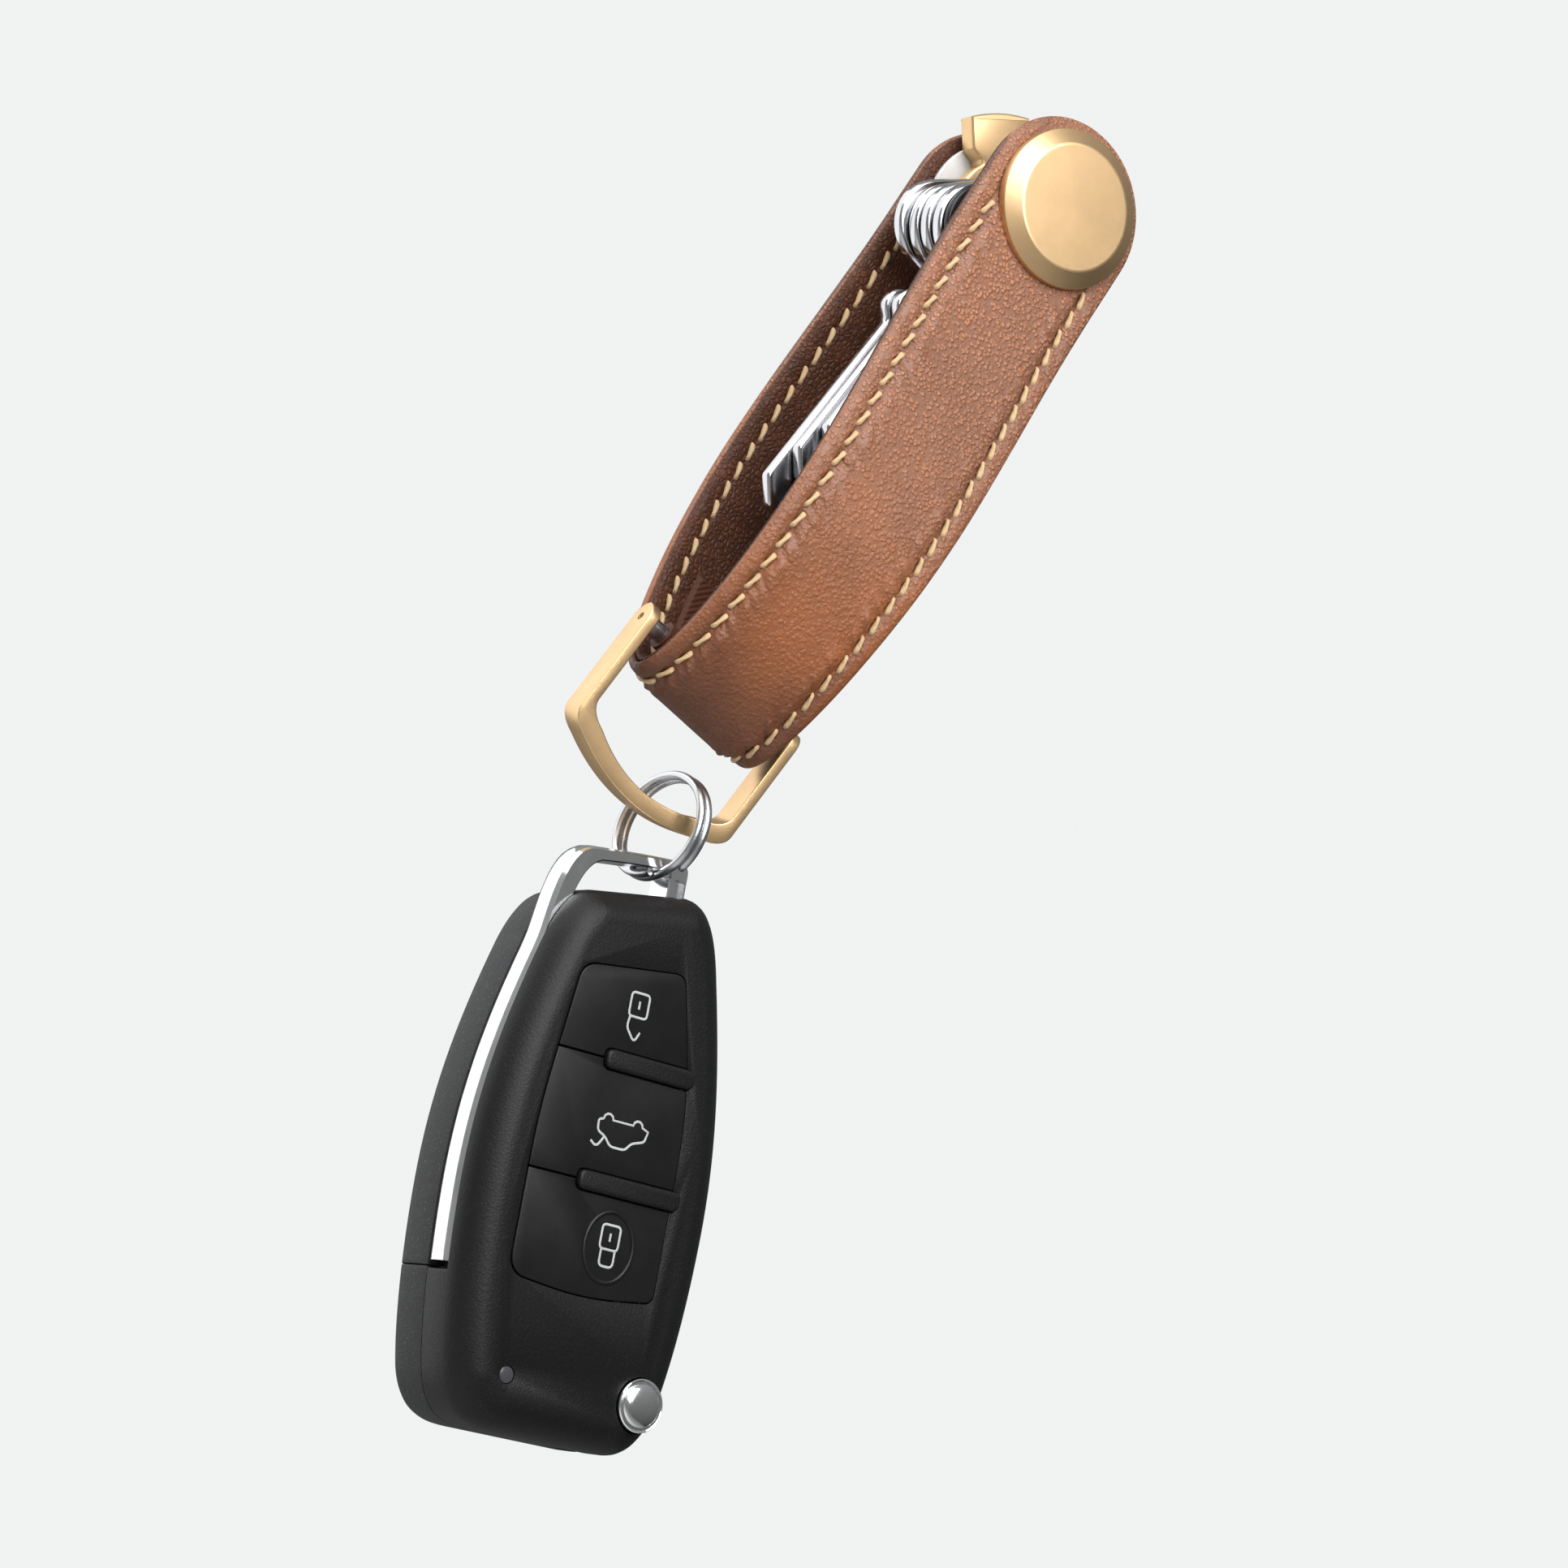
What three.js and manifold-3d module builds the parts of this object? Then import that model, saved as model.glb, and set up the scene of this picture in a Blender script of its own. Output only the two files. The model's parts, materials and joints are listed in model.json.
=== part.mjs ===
// A leather key organiser with its D-ring, split ring and remote flip key.
// Millimetres. +X is across the strap, +Y from the front disc to the back disc, +Z up to the disc end.
// The origin is the centre of the front disc's flat face.
import * as THREE from "three";
import { mergeVertices } from "three/addons/utils/BufferGeometryUtils.js";
import Module from "manifold-3d";

const wasm = await Module();
wasm.setup();

// ---- Driving dimensions: strap ----
const STRAP_WIDTH = 22;
const TIP_WIDTH = 19; // the strap narrows towards its bend
const BODY_HALF = 8.8; // outer half thickness at the disc end
const BELLY_HALF = 11.65; // outer half thickness where the strap bows out most
const BELLY_Z = -44;
const TIP_Z = -75.3; // outside of the bend
const OUTER_LEATHER = 1.2;
const LINING = 0.9;
const GRIP = 0.45; // ribbed patch inside the bend
const GRIP_TOP_Z = -58;
const GLUE = 0.05; // gap between glued or stacked layers
const STITCH_X = 8.4;
const STITCH_TOP_Z = -5.4;
const THREAD = 0.7;
const THREAD_PROUD = 0.25;

// ---- Discs and post ----
const DISC_RADIUS = 9.4;
const DISC_FACE_RADIUS = 7.65;
const DISC_HEIGHT = 2.42; // flat face above the leather
const BEVEL_HEIGHT = 1.2;
const BARREL_RADIUS = 3;
const SCREW_RADIUS = 1.5;
const RUNNING_GAP = 0.05;
const COIN_SLOT = { width: 1.8, length: 11, depth: 0.9 };
const MID_Y = DISC_HEIGHT + BODY_HALF;
const BACK_FACE_Y = 2 * MID_Y;
const FRONT_LINING_Y = DISC_HEIGHT + OUTER_LEATHER + GLUE + LINING;

// ---- Key stack, from the front lining to the back lining ----
const KEY_THICKNESS = 2.05;
const KEY_CAP = 1;
const CAP_TRIM = 0.35; // the cap stops this far inside the key's rim
const TAB_THICKNESS = 2.6;
const HUB_RADIUS = 7.3;
const WASHER = { radius: 9.4, thickness: 0.75 };
const KEY_HOLE = BARREL_RADIUS + RUNNING_GAP;
const KEYS = [
  { lean: 4.2, lobe: 5.6, tip: -46, shoulder: 5.7, blade: 4.3, cuts: 5 },
  { lean: 4.6, lobe: 5.9, tip: -41.5, shoulder: 6, blade: 4.4, cuts: 4 },
  { lean: 4.8, lobe: 6.1, tip: -45, shoulder: 6.2, blade: 4.6, cuts: 6 },
  { lean: 4.5, lobe: 7.1, tip: -49.2, shoulder: 6.6, blade: 4.9, cuts: 0 },
];
const HEAD_LOBE_RADIUS = 5.5;
const HEAD_LOBE_Z = -8.4;
const HOLE_LOBE_RADIUS = 4.9;
const NECK = { half: 3.4, z: -15.6 };
const COLLAR = { top: -18.2, bottom: -20.4 };
const BLADE_TOP_Z = -21.8;
const FIRST_CUT_Z = -24;
const LAST_CUT_ABOVE_TIP = 8;
const MILLED_GROOVE = { half: 0.55, depth: 0.55, centres: [-1.4, 1.5] };
const TAB_TURN = 40; // degrees from straight up, towards -X
const TAB = { inner: 2.1, outer: 4.2, root: 6.4, corner: 12.3, crown: 12.8 };

// ---- D-ring and its spring bar ----
const D_RING = {
  pinZ: -70, halfWidth: 12.35, arm: 1.35, bow: 1.9, depth: 3.9,
  shoulderZ: -12.4, cornerZ: -14, bottomZ: -17.1, swing: 9,
};
const BAR = { radius: 1.05, tip: 0.45, sleeve: 1.75 };

// ---- Split ring: two turns of wire ----
const RING = { x: 5.35, y: 13.7, z: -86.3, radius: 6.15, wire: 0.5, pitch: 1.06, turns: 1.93 };
const RING_TURN = new THREE.Euler(0, rad(-12.9), rad(11.9), "YZX");

// ---- Remote flip key ----
const FOB = {
  x: 17.5, y: 12.2, z: -123.95, lean: -22.6, tilt: -4, twist: 5,
  topLeft: 29.6, topRight: 31.7, bottom: -31, half: 7.75, edge: 3.8, wall: 1.5,
};
const SEAM = 0.06; // half the gap between the two halves
const BAND_GAP = 0.12;
const BAND = { front: -3.75, back: -0.1, proud: 0.35, depth: 1.3, end: -14 };
const LOOP = { topLeft: 34.5, topRight: 36.1, bar: 1.4, right: 6.9, post: 2.9, foot: 28.6 };
const PANEL = { left: -10.6, right: 9.4, top: 21.6, bottom: -14.1, leanLeft: 2.2 };
const BUTTON = { thickness: 1.7, proud: 0.15, gap: 0.15 };
const DIVIDERS = [
  { z: 11.3, left: -3.2, right: 9.2 },
  { z: -2.3, left: -3.9, right: 10.2 },
];
const DIVIDER = { height: 2.2, proud: 0.75 };
const PIVOT = { x: 10.1, z: -25 };
const RELEASE = { radius: 3, proud: 1.1, base: -5.3 };
const BLADE = { width: 7, thickness: 2.4, length: 43, lean: -5.5, hub: 4.3, hubHalf: 2.4 };
const PIN = { radius: 1.5, front: -2.9, back: 3.6 };
const LED = { x: -8.1, z: -24.8, radius: 0.95 };

function rad(degrees) {
  return (degrees * Math.PI) / 180;
}

// ---- Solids: a closed geometry as a manifold, and back ----
function solid(geometry) {
  const bare = new THREE.BufferGeometry();
  bare.setAttribute("position", geometry.getAttribute("position"));
  if (geometry.index) bare.setIndex(geometry.index);
  const merged = mergeVertices(bare, 1e-4);
  const corner = merged.index.array;
  const kept = [];
  for (let i = 0; i < corner.length; i += 3) {
    const [a, b, c] = [corner[i], corner[i + 1], corner[i + 2]];
    if (a !== b && b !== c && c !== a) kept.push(a, b, c);
  }
  const make = (triVerts) =>
    new wasm.Manifold(
      new wasm.Mesh({
        numProp: 3,
        vertProperties: merged.attributes.position.array,
        triVerts: new Uint32Array(triVerts),
      }),
    );
  const made = make(kept);
  if (made.volume() > 0) return made;
  for (let i = 0; i < kept.length; i += 3) [kept[i], kept[i + 1]] = [kept[i + 1], kept[i]];
  return make(kept);
}

function geometryOf(manifold) {
  const mesh = manifold.getMesh();
  const geometry = new THREE.BufferGeometry();
  geometry.setAttribute("position", new THREE.BufferAttribute(mesh.vertProperties, 3));
  geometry.setIndex(new THREE.BufferAttribute(mesh.triVerts, 1));
  return geometry;
}

function cut(body, ...tools) {
  return tools.reduce((left, tool) => left.subtract(tool), body);
}

// ---- Shapes on the XZ plane pushed along Y, on the YZ plane pushed along X, and turned about Y ----
function alongY(shape, y0, y1, curveSegments = 10) {
  const geometry = new THREE.ExtrudeGeometry(shape, {
    depth: y1 - y0,
    bevelEnabled: false,
    curveSegments,
  });
  return solid(geometry.rotateX(Math.PI / 2).translate(0, y1, 0));
}

function alongX(shape, x0, x1, curveSegments = 10) {
  const geometry = new THREE.ExtrudeGeometry(shape, {
    depth: x1 - x0,
    bevelEnabled: false,
    curveSegments,
  });
  const turn = new THREE.Matrix4().makeBasis(
    new THREE.Vector3(0, 1, 0),
    new THREE.Vector3(0, 0, 1),
    new THREE.Vector3(1, 0, 0),
  );
  return solid(geometry.applyMatrix4(turn).translate(x0, 0, 0));
}

function turned(profile, segments = 40) {
  return solid(new THREE.LatheGeometry(profile.map(([r, y]) => new THREE.Vector2(r, y)), segments));
}

function rodY(radius, y0, y1, x = 0, z = 0, segments = 32) {
  const geometry = new THREE.CylinderGeometry(radius, radius, y1 - y0, segments);
  return solid(geometry.translate(x, (y0 + y1) / 2, z));
}

function rodX(radius, x0, x1, y = 0, z = 0, segments = 24) {
  const geometry = new THREE.CylinderGeometry(radius, radius, x1 - x0, segments);
  return solid(geometry.rotateZ(Math.PI / 2).translate((x0 + x1) / 2, y, z));
}

function block(x0, x1, y0, y1, z0, z1) {
  const geometry = new THREE.BoxGeometry(x1 - x0, y1 - y0, z1 - z0);
  return solid(geometry.translate((x0 + x1) / 2, (y0 + y1) / 2, (z0 + z1) / 2));
}

function roundedPolygon(corners) {
  const shape = new THREE.Shape();
  const at = (i) => corners[(i + corners.length) % corners.length];
  corners.forEach(([x, y, r], i) => {
    const here = new THREE.Vector2(x, y);
    const towards = (other) => {
      const step = new THREE.Vector2(other[0] - x, other[1] - y);
      return here.clone().add(step.setLength(Math.min(Math.max(r, 0.01), 0.48 * step.length())));
    };
    const enter = towards(at(i - 1));
    const leave = towards(at(i + 1));
    if (i === 0) shape.moveTo(enter.x, enter.y);
    else shape.lineTo(enter.x, enter.y);
    shape.quadraticCurveTo(x, y, leave.x, leave.y);
  });
  shape.closePath();
  return shape;
}

// ---- Meshes ----
const FINISH = {
  tan_leather: [0x9a5a36, 0.55, 0],
  lining_leather: [0x5a2f1b, 0.7, 0],
  ribbed_lining: [0x4e2918, 0.75, 0],
  cream_thread: [0xe8c795, 0.8, 0],
  gold: [0xd2a25e, 0.35, 1],
  white_nylon: [0xe6e4e0, 0.5, 0],
  nickel: [0xc9cacb, 0.18, 1],
  black_cap: [0x16181a, 0.45, 0],
  steel: [0xb4b6b8, 0.3, 1],
  black_shell: [0x1d1e20, 0.6, 0],
  grey_shell: [0x3d3f42, 0.65, 0],
  chrome: [0xe8eaec, 0.08, 1],
  black_button: [0x121314, 0.42, 0],
  smoked_lens: [0x3a3d40, 0.2, 0],
  green_board: [0x1f5a38, 0.5, 0],
  rubber_mat: [0x2a2b2d, 0.8, 0],
};

function mesh(name, manifold, finish) {
  const [color, roughness, metalness] = FINISH[finish];
  const material = new THREE.MeshStandardMaterial({ color, roughness, metalness });
  const made = new THREE.Mesh(geometryOf(manifold), material);
  made.name = name;
  return made;
}

const part = new THREE.Group();

// ---- Strap: a side profile in the YZ plane, trimmed by the outline seen from the front ----
function strapSide() {
  const path = new THREE.CurvePath();
  const point = (half, z) => new THREE.Vector2(MID_Y + half, z);
  const curve = (...points) => path.add(new THREE.CubicBezierCurve(...points));
  const straightEnd = -6;
  path.add(new THREE.LineCurve(point(-BODY_HALF, STRAP_WIDTH / 2), point(-BODY_HALF, straightEnd)));
  for (const side of [-1, 1]) {
    const down = [
      point(side * BODY_HALF, straightEnd),
      point(side * BODY_HALF, -21),
      point(side * BELLY_HALF, -31),
      point(side * BELLY_HALF, BELLY_Z),
    ];
    const bend = [
      point(side * BELLY_HALF, BELLY_Z),
      point(side * BELLY_HALF, -61),
      point(side * 5.9, TIP_Z),
      point(0, TIP_Z),
    ];
    if (side < 0) {
      curve(...down);
      curve(...bend);
    } else {
      curve(...bend.reverse());
      curve(...down.reverse());
    }
  }
  path.add(new THREE.LineCurve(point(BODY_HALF, straightEnd), point(BODY_HALF, STRAP_WIDTH / 2)));
  return path;
}

const SIDE_STEPS = 96;
const SIDE = strapSide();
const SIDE_POINTS = SIDE.getSpacedPoints(SIDE_STEPS);
const SIDE_NORMALS = SIDE_POINTS.map((_, i) => {
  const tangent = SIDE.getTangentAt(i / SIDE_STEPS);
  return new THREE.Vector2(-tangent.y, tangent.x);
});

// A band that follows the side profile between two depths below its outside,
// from z = top down round the bend.
function band(outside, inside, top, x0, x1) {
  const row = (depth) =>
    SIDE_POINTS.map((p, i) => p.clone().addScaledVector(SIDE_NORMALS[i], depth)).filter(
      (_, i) => SIDE_POINTS[i].y < top,
    );
  return alongX(new THREE.Shape([...row(outside), ...row(inside).reverse()]), x0, x1);
}

function strapOutline(inset) {
  const half = STRAP_WIDTH / 2 - inset;
  const tip = TIP_WIDTH / 2 - inset;
  const bottom = TIP_Z - 2;
  const shape = new THREE.Shape();
  shape.absarc(0, 0, half, 0, Math.PI, false);
  shape.bezierCurveTo(-half, -52, -tip, -60, -tip, bottom);
  shape.lineTo(tip, bottom);
  shape.bezierCurveTo(tip, -60, half, -52, half, 0);
  return alongY(shape, -5, BACK_FACE_Y + 5, 20);
}

function strapLayer(outside, inside, inset) {
  const wide = STRAP_WIDTH / 2 + 1;
  const full = band(outside, inside, STRAP_WIDTH, -wide, wide);
  const hole = rodY(BARREL_RADIUS + 0.1, -5, BACK_FACE_Y + 5);
  return cut(full.intersect(strapOutline(inset)), hole);
}

const liningTop = OUTER_LEATHER + GLUE;
const gripTop = liningTop + LINING + GLUE;
part.add(
  mesh("outer_leather", strapLayer(0, OUTER_LEATHER, 0), "tan_leather"),
  mesh("lining_leather", strapLayer(liningTop, liningTop + LINING, 0.15), "lining_leather"),
  mesh("ribbed_grip", band(gripTop, gripTop + GRIP, GRIP_TOP_Z, -7.6, 7.6), "ribbed_lining"),
);
for (const [side, x] of [["left", -STITCH_X], ["right", STITCH_X]]) {
  const thread = band(-THREAD_PROUD - GLUE, -GLUE, STITCH_TOP_Z, x - THREAD / 2, x + THREAD / 2);
  part.add(mesh(`stitching_${side}`, thread, "cream_thread"));
}

// ---- Front disc with its barrel, and back disc with its screw ----
const DISC_UNDERSIDE = DISC_HEIGHT - GLUE;
const BARREL_END = BACK_FACE_Y - DISC_HEIGHT - 0.4;
const SCREW_END = 8;
part.add(
  mesh(
    "front_disc",
    turned([
      [0, 0],
      [DISC_FACE_RADIUS, 0],
      [DISC_RADIUS, BEVEL_HEIGHT],
      [DISC_RADIUS, DISC_UNDERSIDE],
      [BARREL_RADIUS, DISC_UNDERSIDE],
      [BARREL_RADIUS, BARREL_END],
      [SCREW_RADIUS + RUNNING_GAP, BARREL_END],
      [SCREW_RADIUS + RUNNING_GAP, SCREW_END - 0.5],
      [0, SCREW_END - 0.5],
    ]),
    "gold",
  ),
);
const backDisc = turned([
  [0, BACK_FACE_Y],
  [DISC_FACE_RADIUS, BACK_FACE_Y],
  [DISC_RADIUS, BACK_FACE_Y - BEVEL_HEIGHT],
  [DISC_RADIUS, BACK_FACE_Y - DISC_UNDERSIDE],
  [SCREW_RADIUS, BACK_FACE_Y - DISC_UNDERSIDE],
  [SCREW_RADIUS, SCREW_END],
  [0, SCREW_END],
]);
const coinSlot = block(
  -COIN_SLOT.length / 2, COIN_SLOT.length / 2,
  BACK_FACE_Y - COIN_SLOT.depth, BACK_FACE_Y + 1,
  -COIN_SLOT.width / 2, COIN_SLOT.width / 2,
);
part.add(mesh("back_disc", cut(backDisc, coinSlot), "gold"));

// ---- Keys: a three-lobed head, a collar, a blade with bitting ----
function keyHead(key, trim, y0, y1) {
  const small = HOLE_LOBE_RADIUS - trim;
  const large = HEAD_LOBE_RADIUS - trim;
  const apart = Math.hypot(key.lobe, HEAD_LOBE_Z);
  const tangent = Math.atan2(HEAD_LOBE_Z, key.lobe) + Math.acos((small - large) / apart);
  const shape = new THREE.Shape();
  shape.absarc(0, 0, small, tangent, Math.PI - tangent, false);
  shape.absarc(-key.lobe, HEAD_LOBE_Z, large, Math.PI - tangent, 1.5 * Math.PI, false);
  shape.absarc(key.lobe, HEAD_LOBE_Z, large, -0.5 * Math.PI, tangent, false);
  shape.closePath();
  return alongY(shape, y0, y1, 10);
}

function keyBlade(key, y0, y1) {
  const { blade, shoulder, tip, cuts } = key;
  const corners = [
    [-NECK.half, HEAD_LOBE_Z, 0],
    [-NECK.half, NECK.z, 1],
    [-shoulder, COLLAR.top, 1.2],
    [-shoulder, COLLAR.bottom, 1],
    [-blade, BLADE_TOP_Z, 0.5],
    [-blade, tip + 2.6, 0],
    [-blade + 2.6, tip, 0.4],
    [blade - 3.4, tip, 0.4],
    [blade - 0.2, tip + 3.2, 0.4],
  ];
  const pitch = (tip + LAST_CUT_ABOVE_TIP - FIRST_CUT_Z) / Math.max(cuts, 1);
  for (let i = cuts - 1; i >= 0; i--) {
    const z = FIRST_CUT_Z + pitch * (i + 0.5);
    const depth = 1 + 0.7 * Math.abs(Math.sin(2.4 * i + key.lobe));
    corners.push([blade, z + pitch * 0.42, 0], [blade - depth, z, 0.3], [blade, z - pitch * 0.42, 0]);
  }
  corners.push([blade, BLADE_TOP_Z, 0.5], [shoulder, COLLAR.bottom, 1], [shoulder, COLLAR.top, 1.2]);
  corners.push([NECK.half, NECK.z, 1], [NECK.half, HEAD_LOBE_Z, 0]);
  return alongY(roundedPolygon(corners), y0, y1, 4);
}

function keySolid(key, y0) {
  const y1 = y0 + KEY_THICKNESS;
  const { half, depth, centres } = MILLED_GROOVE;
  const grooves = centres.map((x) =>
    block(x - half, x + half, y0 - 1, y0 + depth, key.tip + 1.6, BLADE_TOP_Z - 0.7),
  );
  const blank = keyHead(key, 0, y0, y1).add(keyBlade(key, y0, y1));
  return cut(blank, rodY(KEY_HOLE, y0 - 1, y1 + 1), ...grooves);
}

let stackY = FRONT_LINING_Y + 2 * GLUE;
const capY = stackY;
stackY += KEY_CAP + GLUE;
KEYS.forEach((key, i) => {
  const made = mesh(`key_${i + 1}`, keySolid(key, stackY), i === 0 ? "steel" : "nickel");
  made.rotation.y = rad(key.lean);
  part.add(made);
  stackY += KEY_THICKNESS + GLUE;
});
const capHead = keyHead(KEYS[0], CAP_TRIM, capY, capY + KEY_CAP);
const cap = mesh("key_1_cap", cut(capHead, rodY(KEY_HOLE, 0, BACK_FACE_Y)), "black_cap");
cap.rotation.y = rad(KEYS[0].lean);
part.add(cap);

// ---- Gold pull tab on its hub, and the washer behind it ----
function pullTab(y0) {
  const shape = new THREE.Shape();
  shape.moveTo(-TAB.inner, TAB.root);
  shape.lineTo(-TAB.inner, TAB.root + 1.6);
  shape.lineTo(-TAB.outer, TAB.corner - 3);
  shape.lineTo(-TAB.outer, TAB.corner);
  shape.quadraticCurveTo(0, 2 * TAB.crown - TAB.corner, TAB.outer, TAB.corner);
  shape.lineTo(TAB.outer, TAB.corner - 3);
  shape.lineTo(TAB.inner, TAB.root + 1.6);
  shape.lineTo(TAB.inner, TAB.root);
  const hub = rodY(HUB_RADIUS, y0, y0 + TAB_THICKNESS - 0.7, 0, 0, 40);
  const tab = alongY(shape, y0, y0 + TAB_THICKNESS);
  return cut(hub.add(tab), rodY(KEY_HOLE, 0, BACK_FACE_Y));
}
const tabMesh = mesh("pull_tab", pullTab(stackY), "gold");
tabMesh.rotation.y = rad(-TAB_TURN);
part.add(tabMesh);
stackY += TAB_THICKNESS + GLUE;
const washer = rodY(WASHER.radius, stackY, stackY + WASHER.thickness, 0, 0, 40);
part.add(mesh("rear_washer", cut(washer, rodY(KEY_HOLE, 0, BACK_FACE_Y)), "white_nylon"));

// ---- Spring bar in the bend, its sleeve, and the D-ring ----
const barEnd = D_RING.halfWidth - D_RING.arm - 0.15;
const sleeveHalf = TIP_WIDTH / 2 - 0.6;
const sleeve = cut(
  rodX(BAR.sleeve, -sleeveHalf, sleeveHalf, MID_Y, D_RING.pinZ, 20),
  rodX(BAR.radius + RUNNING_GAP, -20, 20, MID_Y, D_RING.pinZ),
);
part.add(mesh("bar_sleeve", sleeve, "ribbed_lining"));
const springBar = rodX(BAR.radius, -barEnd, barEnd).add(
  rodX(BAR.tip, -D_RING.halfWidth + 0.35, D_RING.halfWidth - 0.35),
);

function dRing() {
  const { halfWidth, arm, bow, depth, shoulderZ, cornerZ, bottomZ } = D_RING;
  const lug = depth / 2;
  const outline = (side, low, drop) => {
    const shape = new THREE.Shape();
    shape.moveTo(-side, lug + 1);
    shape.lineTo(-side, shoulderZ + drop);
    shape.quadraticCurveTo(-side, cornerZ + drop, -side + 2.6, cornerZ - 0.9 + drop);
    shape.quadraticCurveTo(0, 2 * low - (cornerZ - 0.9 + drop), side - 2.6, cornerZ - 0.9 + drop);
    shape.quadraticCurveTo(side, cornerZ + drop, side, shoulderZ + drop);
    shape.lineTo(side, lug + 1);
    return shape;
  };
  const outer = alongY(outline(halfWidth, bottomZ, 0), -lug, lug, 10);
  const inner = alongY(outline(halfWidth - arm, bottomZ + bow, bow), -lug - 1, lug + 1, 10);
  const side = new THREE.Shape();
  side.absarc(0, 0, lug, 0, Math.PI, false);
  side.lineTo(-lug, bottomZ - 1);
  side.lineTo(lug, bottomZ - 1);
  const trimmed = cut(outer, inner).intersect(alongX(side, -20, 20, 12));
  return cut(trimmed, rodX(BAR.tip + RUNNING_GAP, -20, 20, 0, 0, 16));
}

const ringGroup = new THREE.Group();
ringGroup.position.set(0, MID_Y, D_RING.pinZ);
ringGroup.rotation.x = rad(D_RING.swing);
ringGroup.add(mesh("d_ring", dRing(), "gold"), mesh("spring_bar", springBar, "steel"));
part.add(ringGroup);

// ---- Split ring: one wire wound nearly twice round ----
class Coil extends THREE.Curve {
  getPoint(t, target = new THREE.Vector3()) {
    const angle = 2 * Math.PI * RING.turns * t + rad(250);
    const x = RING.pitch * RING.turns * (t - 0.5);
    return target.set(x, RING.radius * Math.cos(angle), RING.radius * Math.sin(angle));
  }
}
const wireSection = new THREE.Shape().absarc(0, 0, RING.wire, 0, 2 * Math.PI, false);
const coil = new THREE.ExtrudeGeometry(wireSection, {
  steps: 64,
  extrudePath: new Coil(),
  curveSegments: 8,
});
const splitRing = mesh("split_ring", solid(coil), "steel");
splitRing.position.set(RING.x, RING.y, RING.z);
splitRing.rotation.copy(RING_TURN);
part.add(splitRing);

// ---- Remote flip key, drawn about its own centre: x across, -y the button face, z up to the loop ----
const fob = new THREE.Group();
fob.position.set(FOB.x, FOB.y, FOB.z);
fob.rotation.set(rad(FOB.tilt), rad(FOB.lean), rad(FOB.twist), "YXZ");
part.add(fob);

// The outline grown outwards by the given amount.
function fobOutline(grow = 0) {
  const topLeft = FOB.topLeft + grow;
  const topRight = FOB.topRight + grow;
  const bottom = FOB.bottom - grow;
  const shape = new THREE.Shape();
  shape.moveTo(-6.4, topLeft);
  shape.bezierCurveTo(-8.8 - grow, topLeft - 0.3, -10.4 - grow, 26.6, -11.6 - grow, 23);
  shape.bezierCurveTo(-15 - grow, 12, -16.3 - grow, 4, -16.2 - grow, -5);
  shape.bezierCurveTo(-16.1 - grow, -13, -15.2 - grow, -21, -14 - grow, -25.6);
  shape.bezierCurveTo(-13 - grow, -29.4 - grow, -11 - grow, bottom, -7, bottom);
  shape.lineTo(8.4, bottom);
  shape.bezierCurveTo(11 + grow, bottom, 13.2 + grow, -29.2 - grow, 14.1 + grow, -25.4);
  shape.bezierCurveTo(15.4 + grow, -20, 16.1 + grow, -13, 16.2 + grow, -5);
  shape.bezierCurveTo(16.3 + grow, 4, 15 + grow, 12, 12 + grow, 23);
  shape.bezierCurveTo(11 + grow, 27, 9.6 + grow, topRight, 6, topRight);
  shape.closePath();
  return shape;
}

// A closed skin through outlines of equal point count, each at its own y, from the back to the front.
function loft(levels) {
  const count = levels[0].points.length;
  const position = levels.flatMap(({ points, y }) => points.flatMap((p) => [p.x, y, p.y]));
  const index = [];
  levels.slice(1).forEach((_, level) => {
    for (let i = 0; i < count; i++) {
      const a = level * count + i;
      const b = level * count + ((i + 1) % count);
      index.push(a, b, b + count, a, b + count, a + count);
    }
  });
  const lid = THREE.ShapeUtils.triangulateShape(levels[0].points, []);
  const last = (levels.length - 1) * count;
  for (const [a, b, c] of lid) index.push(a, c, b, last + a, last + b, last + c);
  const geometry = new THREE.BufferGeometry();
  geometry.setAttribute("position", new THREE.Float32BufferAttribute(position, 3));
  return solid(geometry.setIndex(index));
}

// Rounded slab of the fob's outline, shrunk all over by the given wall.
function fobSlab(inset) {
  const edge = FOB.edge - inset;
  const steps = inset > 0 ? 2 : 4;
  const levels = [];
  for (const side of [1, -1]) {
    for (let i = 0; i <= steps; i++) {
      const angle = (Math.PI / 2) * (side > 0 ? i / steps : 1 - i / steps);
      const points = fobOutline(-inset - edge * (1 - Math.sin(angle))).getPoints(inset > 0 ? 4 : 7);
      if (points[0].distanceTo(points[points.length - 1]) < 1e-6) points.pop();
      levels.push({ points, y: side * (FOB.half - FOB.edge + edge * Math.cos(angle)) });
    }
  }
  return loft(levels);
}

const slab = cut(fobSlab(0), fobSlab(FOB.wall));
const LARGE = 60;
const inFront = block(-LARGE, LARGE, -LARGE, -SEAM, -LARGE, LARGE);
const behind = block(-LARGE, LARGE, SEAM, LARGE, -LARGE, LARGE);

// ---- Chrome band: down the left side, over the top as the loop, ending in a post ----
function loopShape(clear = 0) {
  const { topLeft, topRight, bar, right, post, foot } = LOOP;
  return roundedPolygon([
    [-11.4 - clear, 24 - clear, 0],
    [-10.8 - clear, 29.5, 2.5],
    [-7.8, topLeft, 3],
    [right - 3, topRight, 3],
    [right + clear, topRight - 0.4, 1.2],
    [right + clear, foot - clear, 0],
    [right - post - clear, foot - clear, 0],
    [right - post - clear, topRight - bar, 0.6],
    [-5.8, topLeft - bar, 1.6],
    [-8 + clear, 29.5 - clear, 1.5],
    [-9.6 + clear, 24 - clear, 0],
  ]);
}

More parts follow.
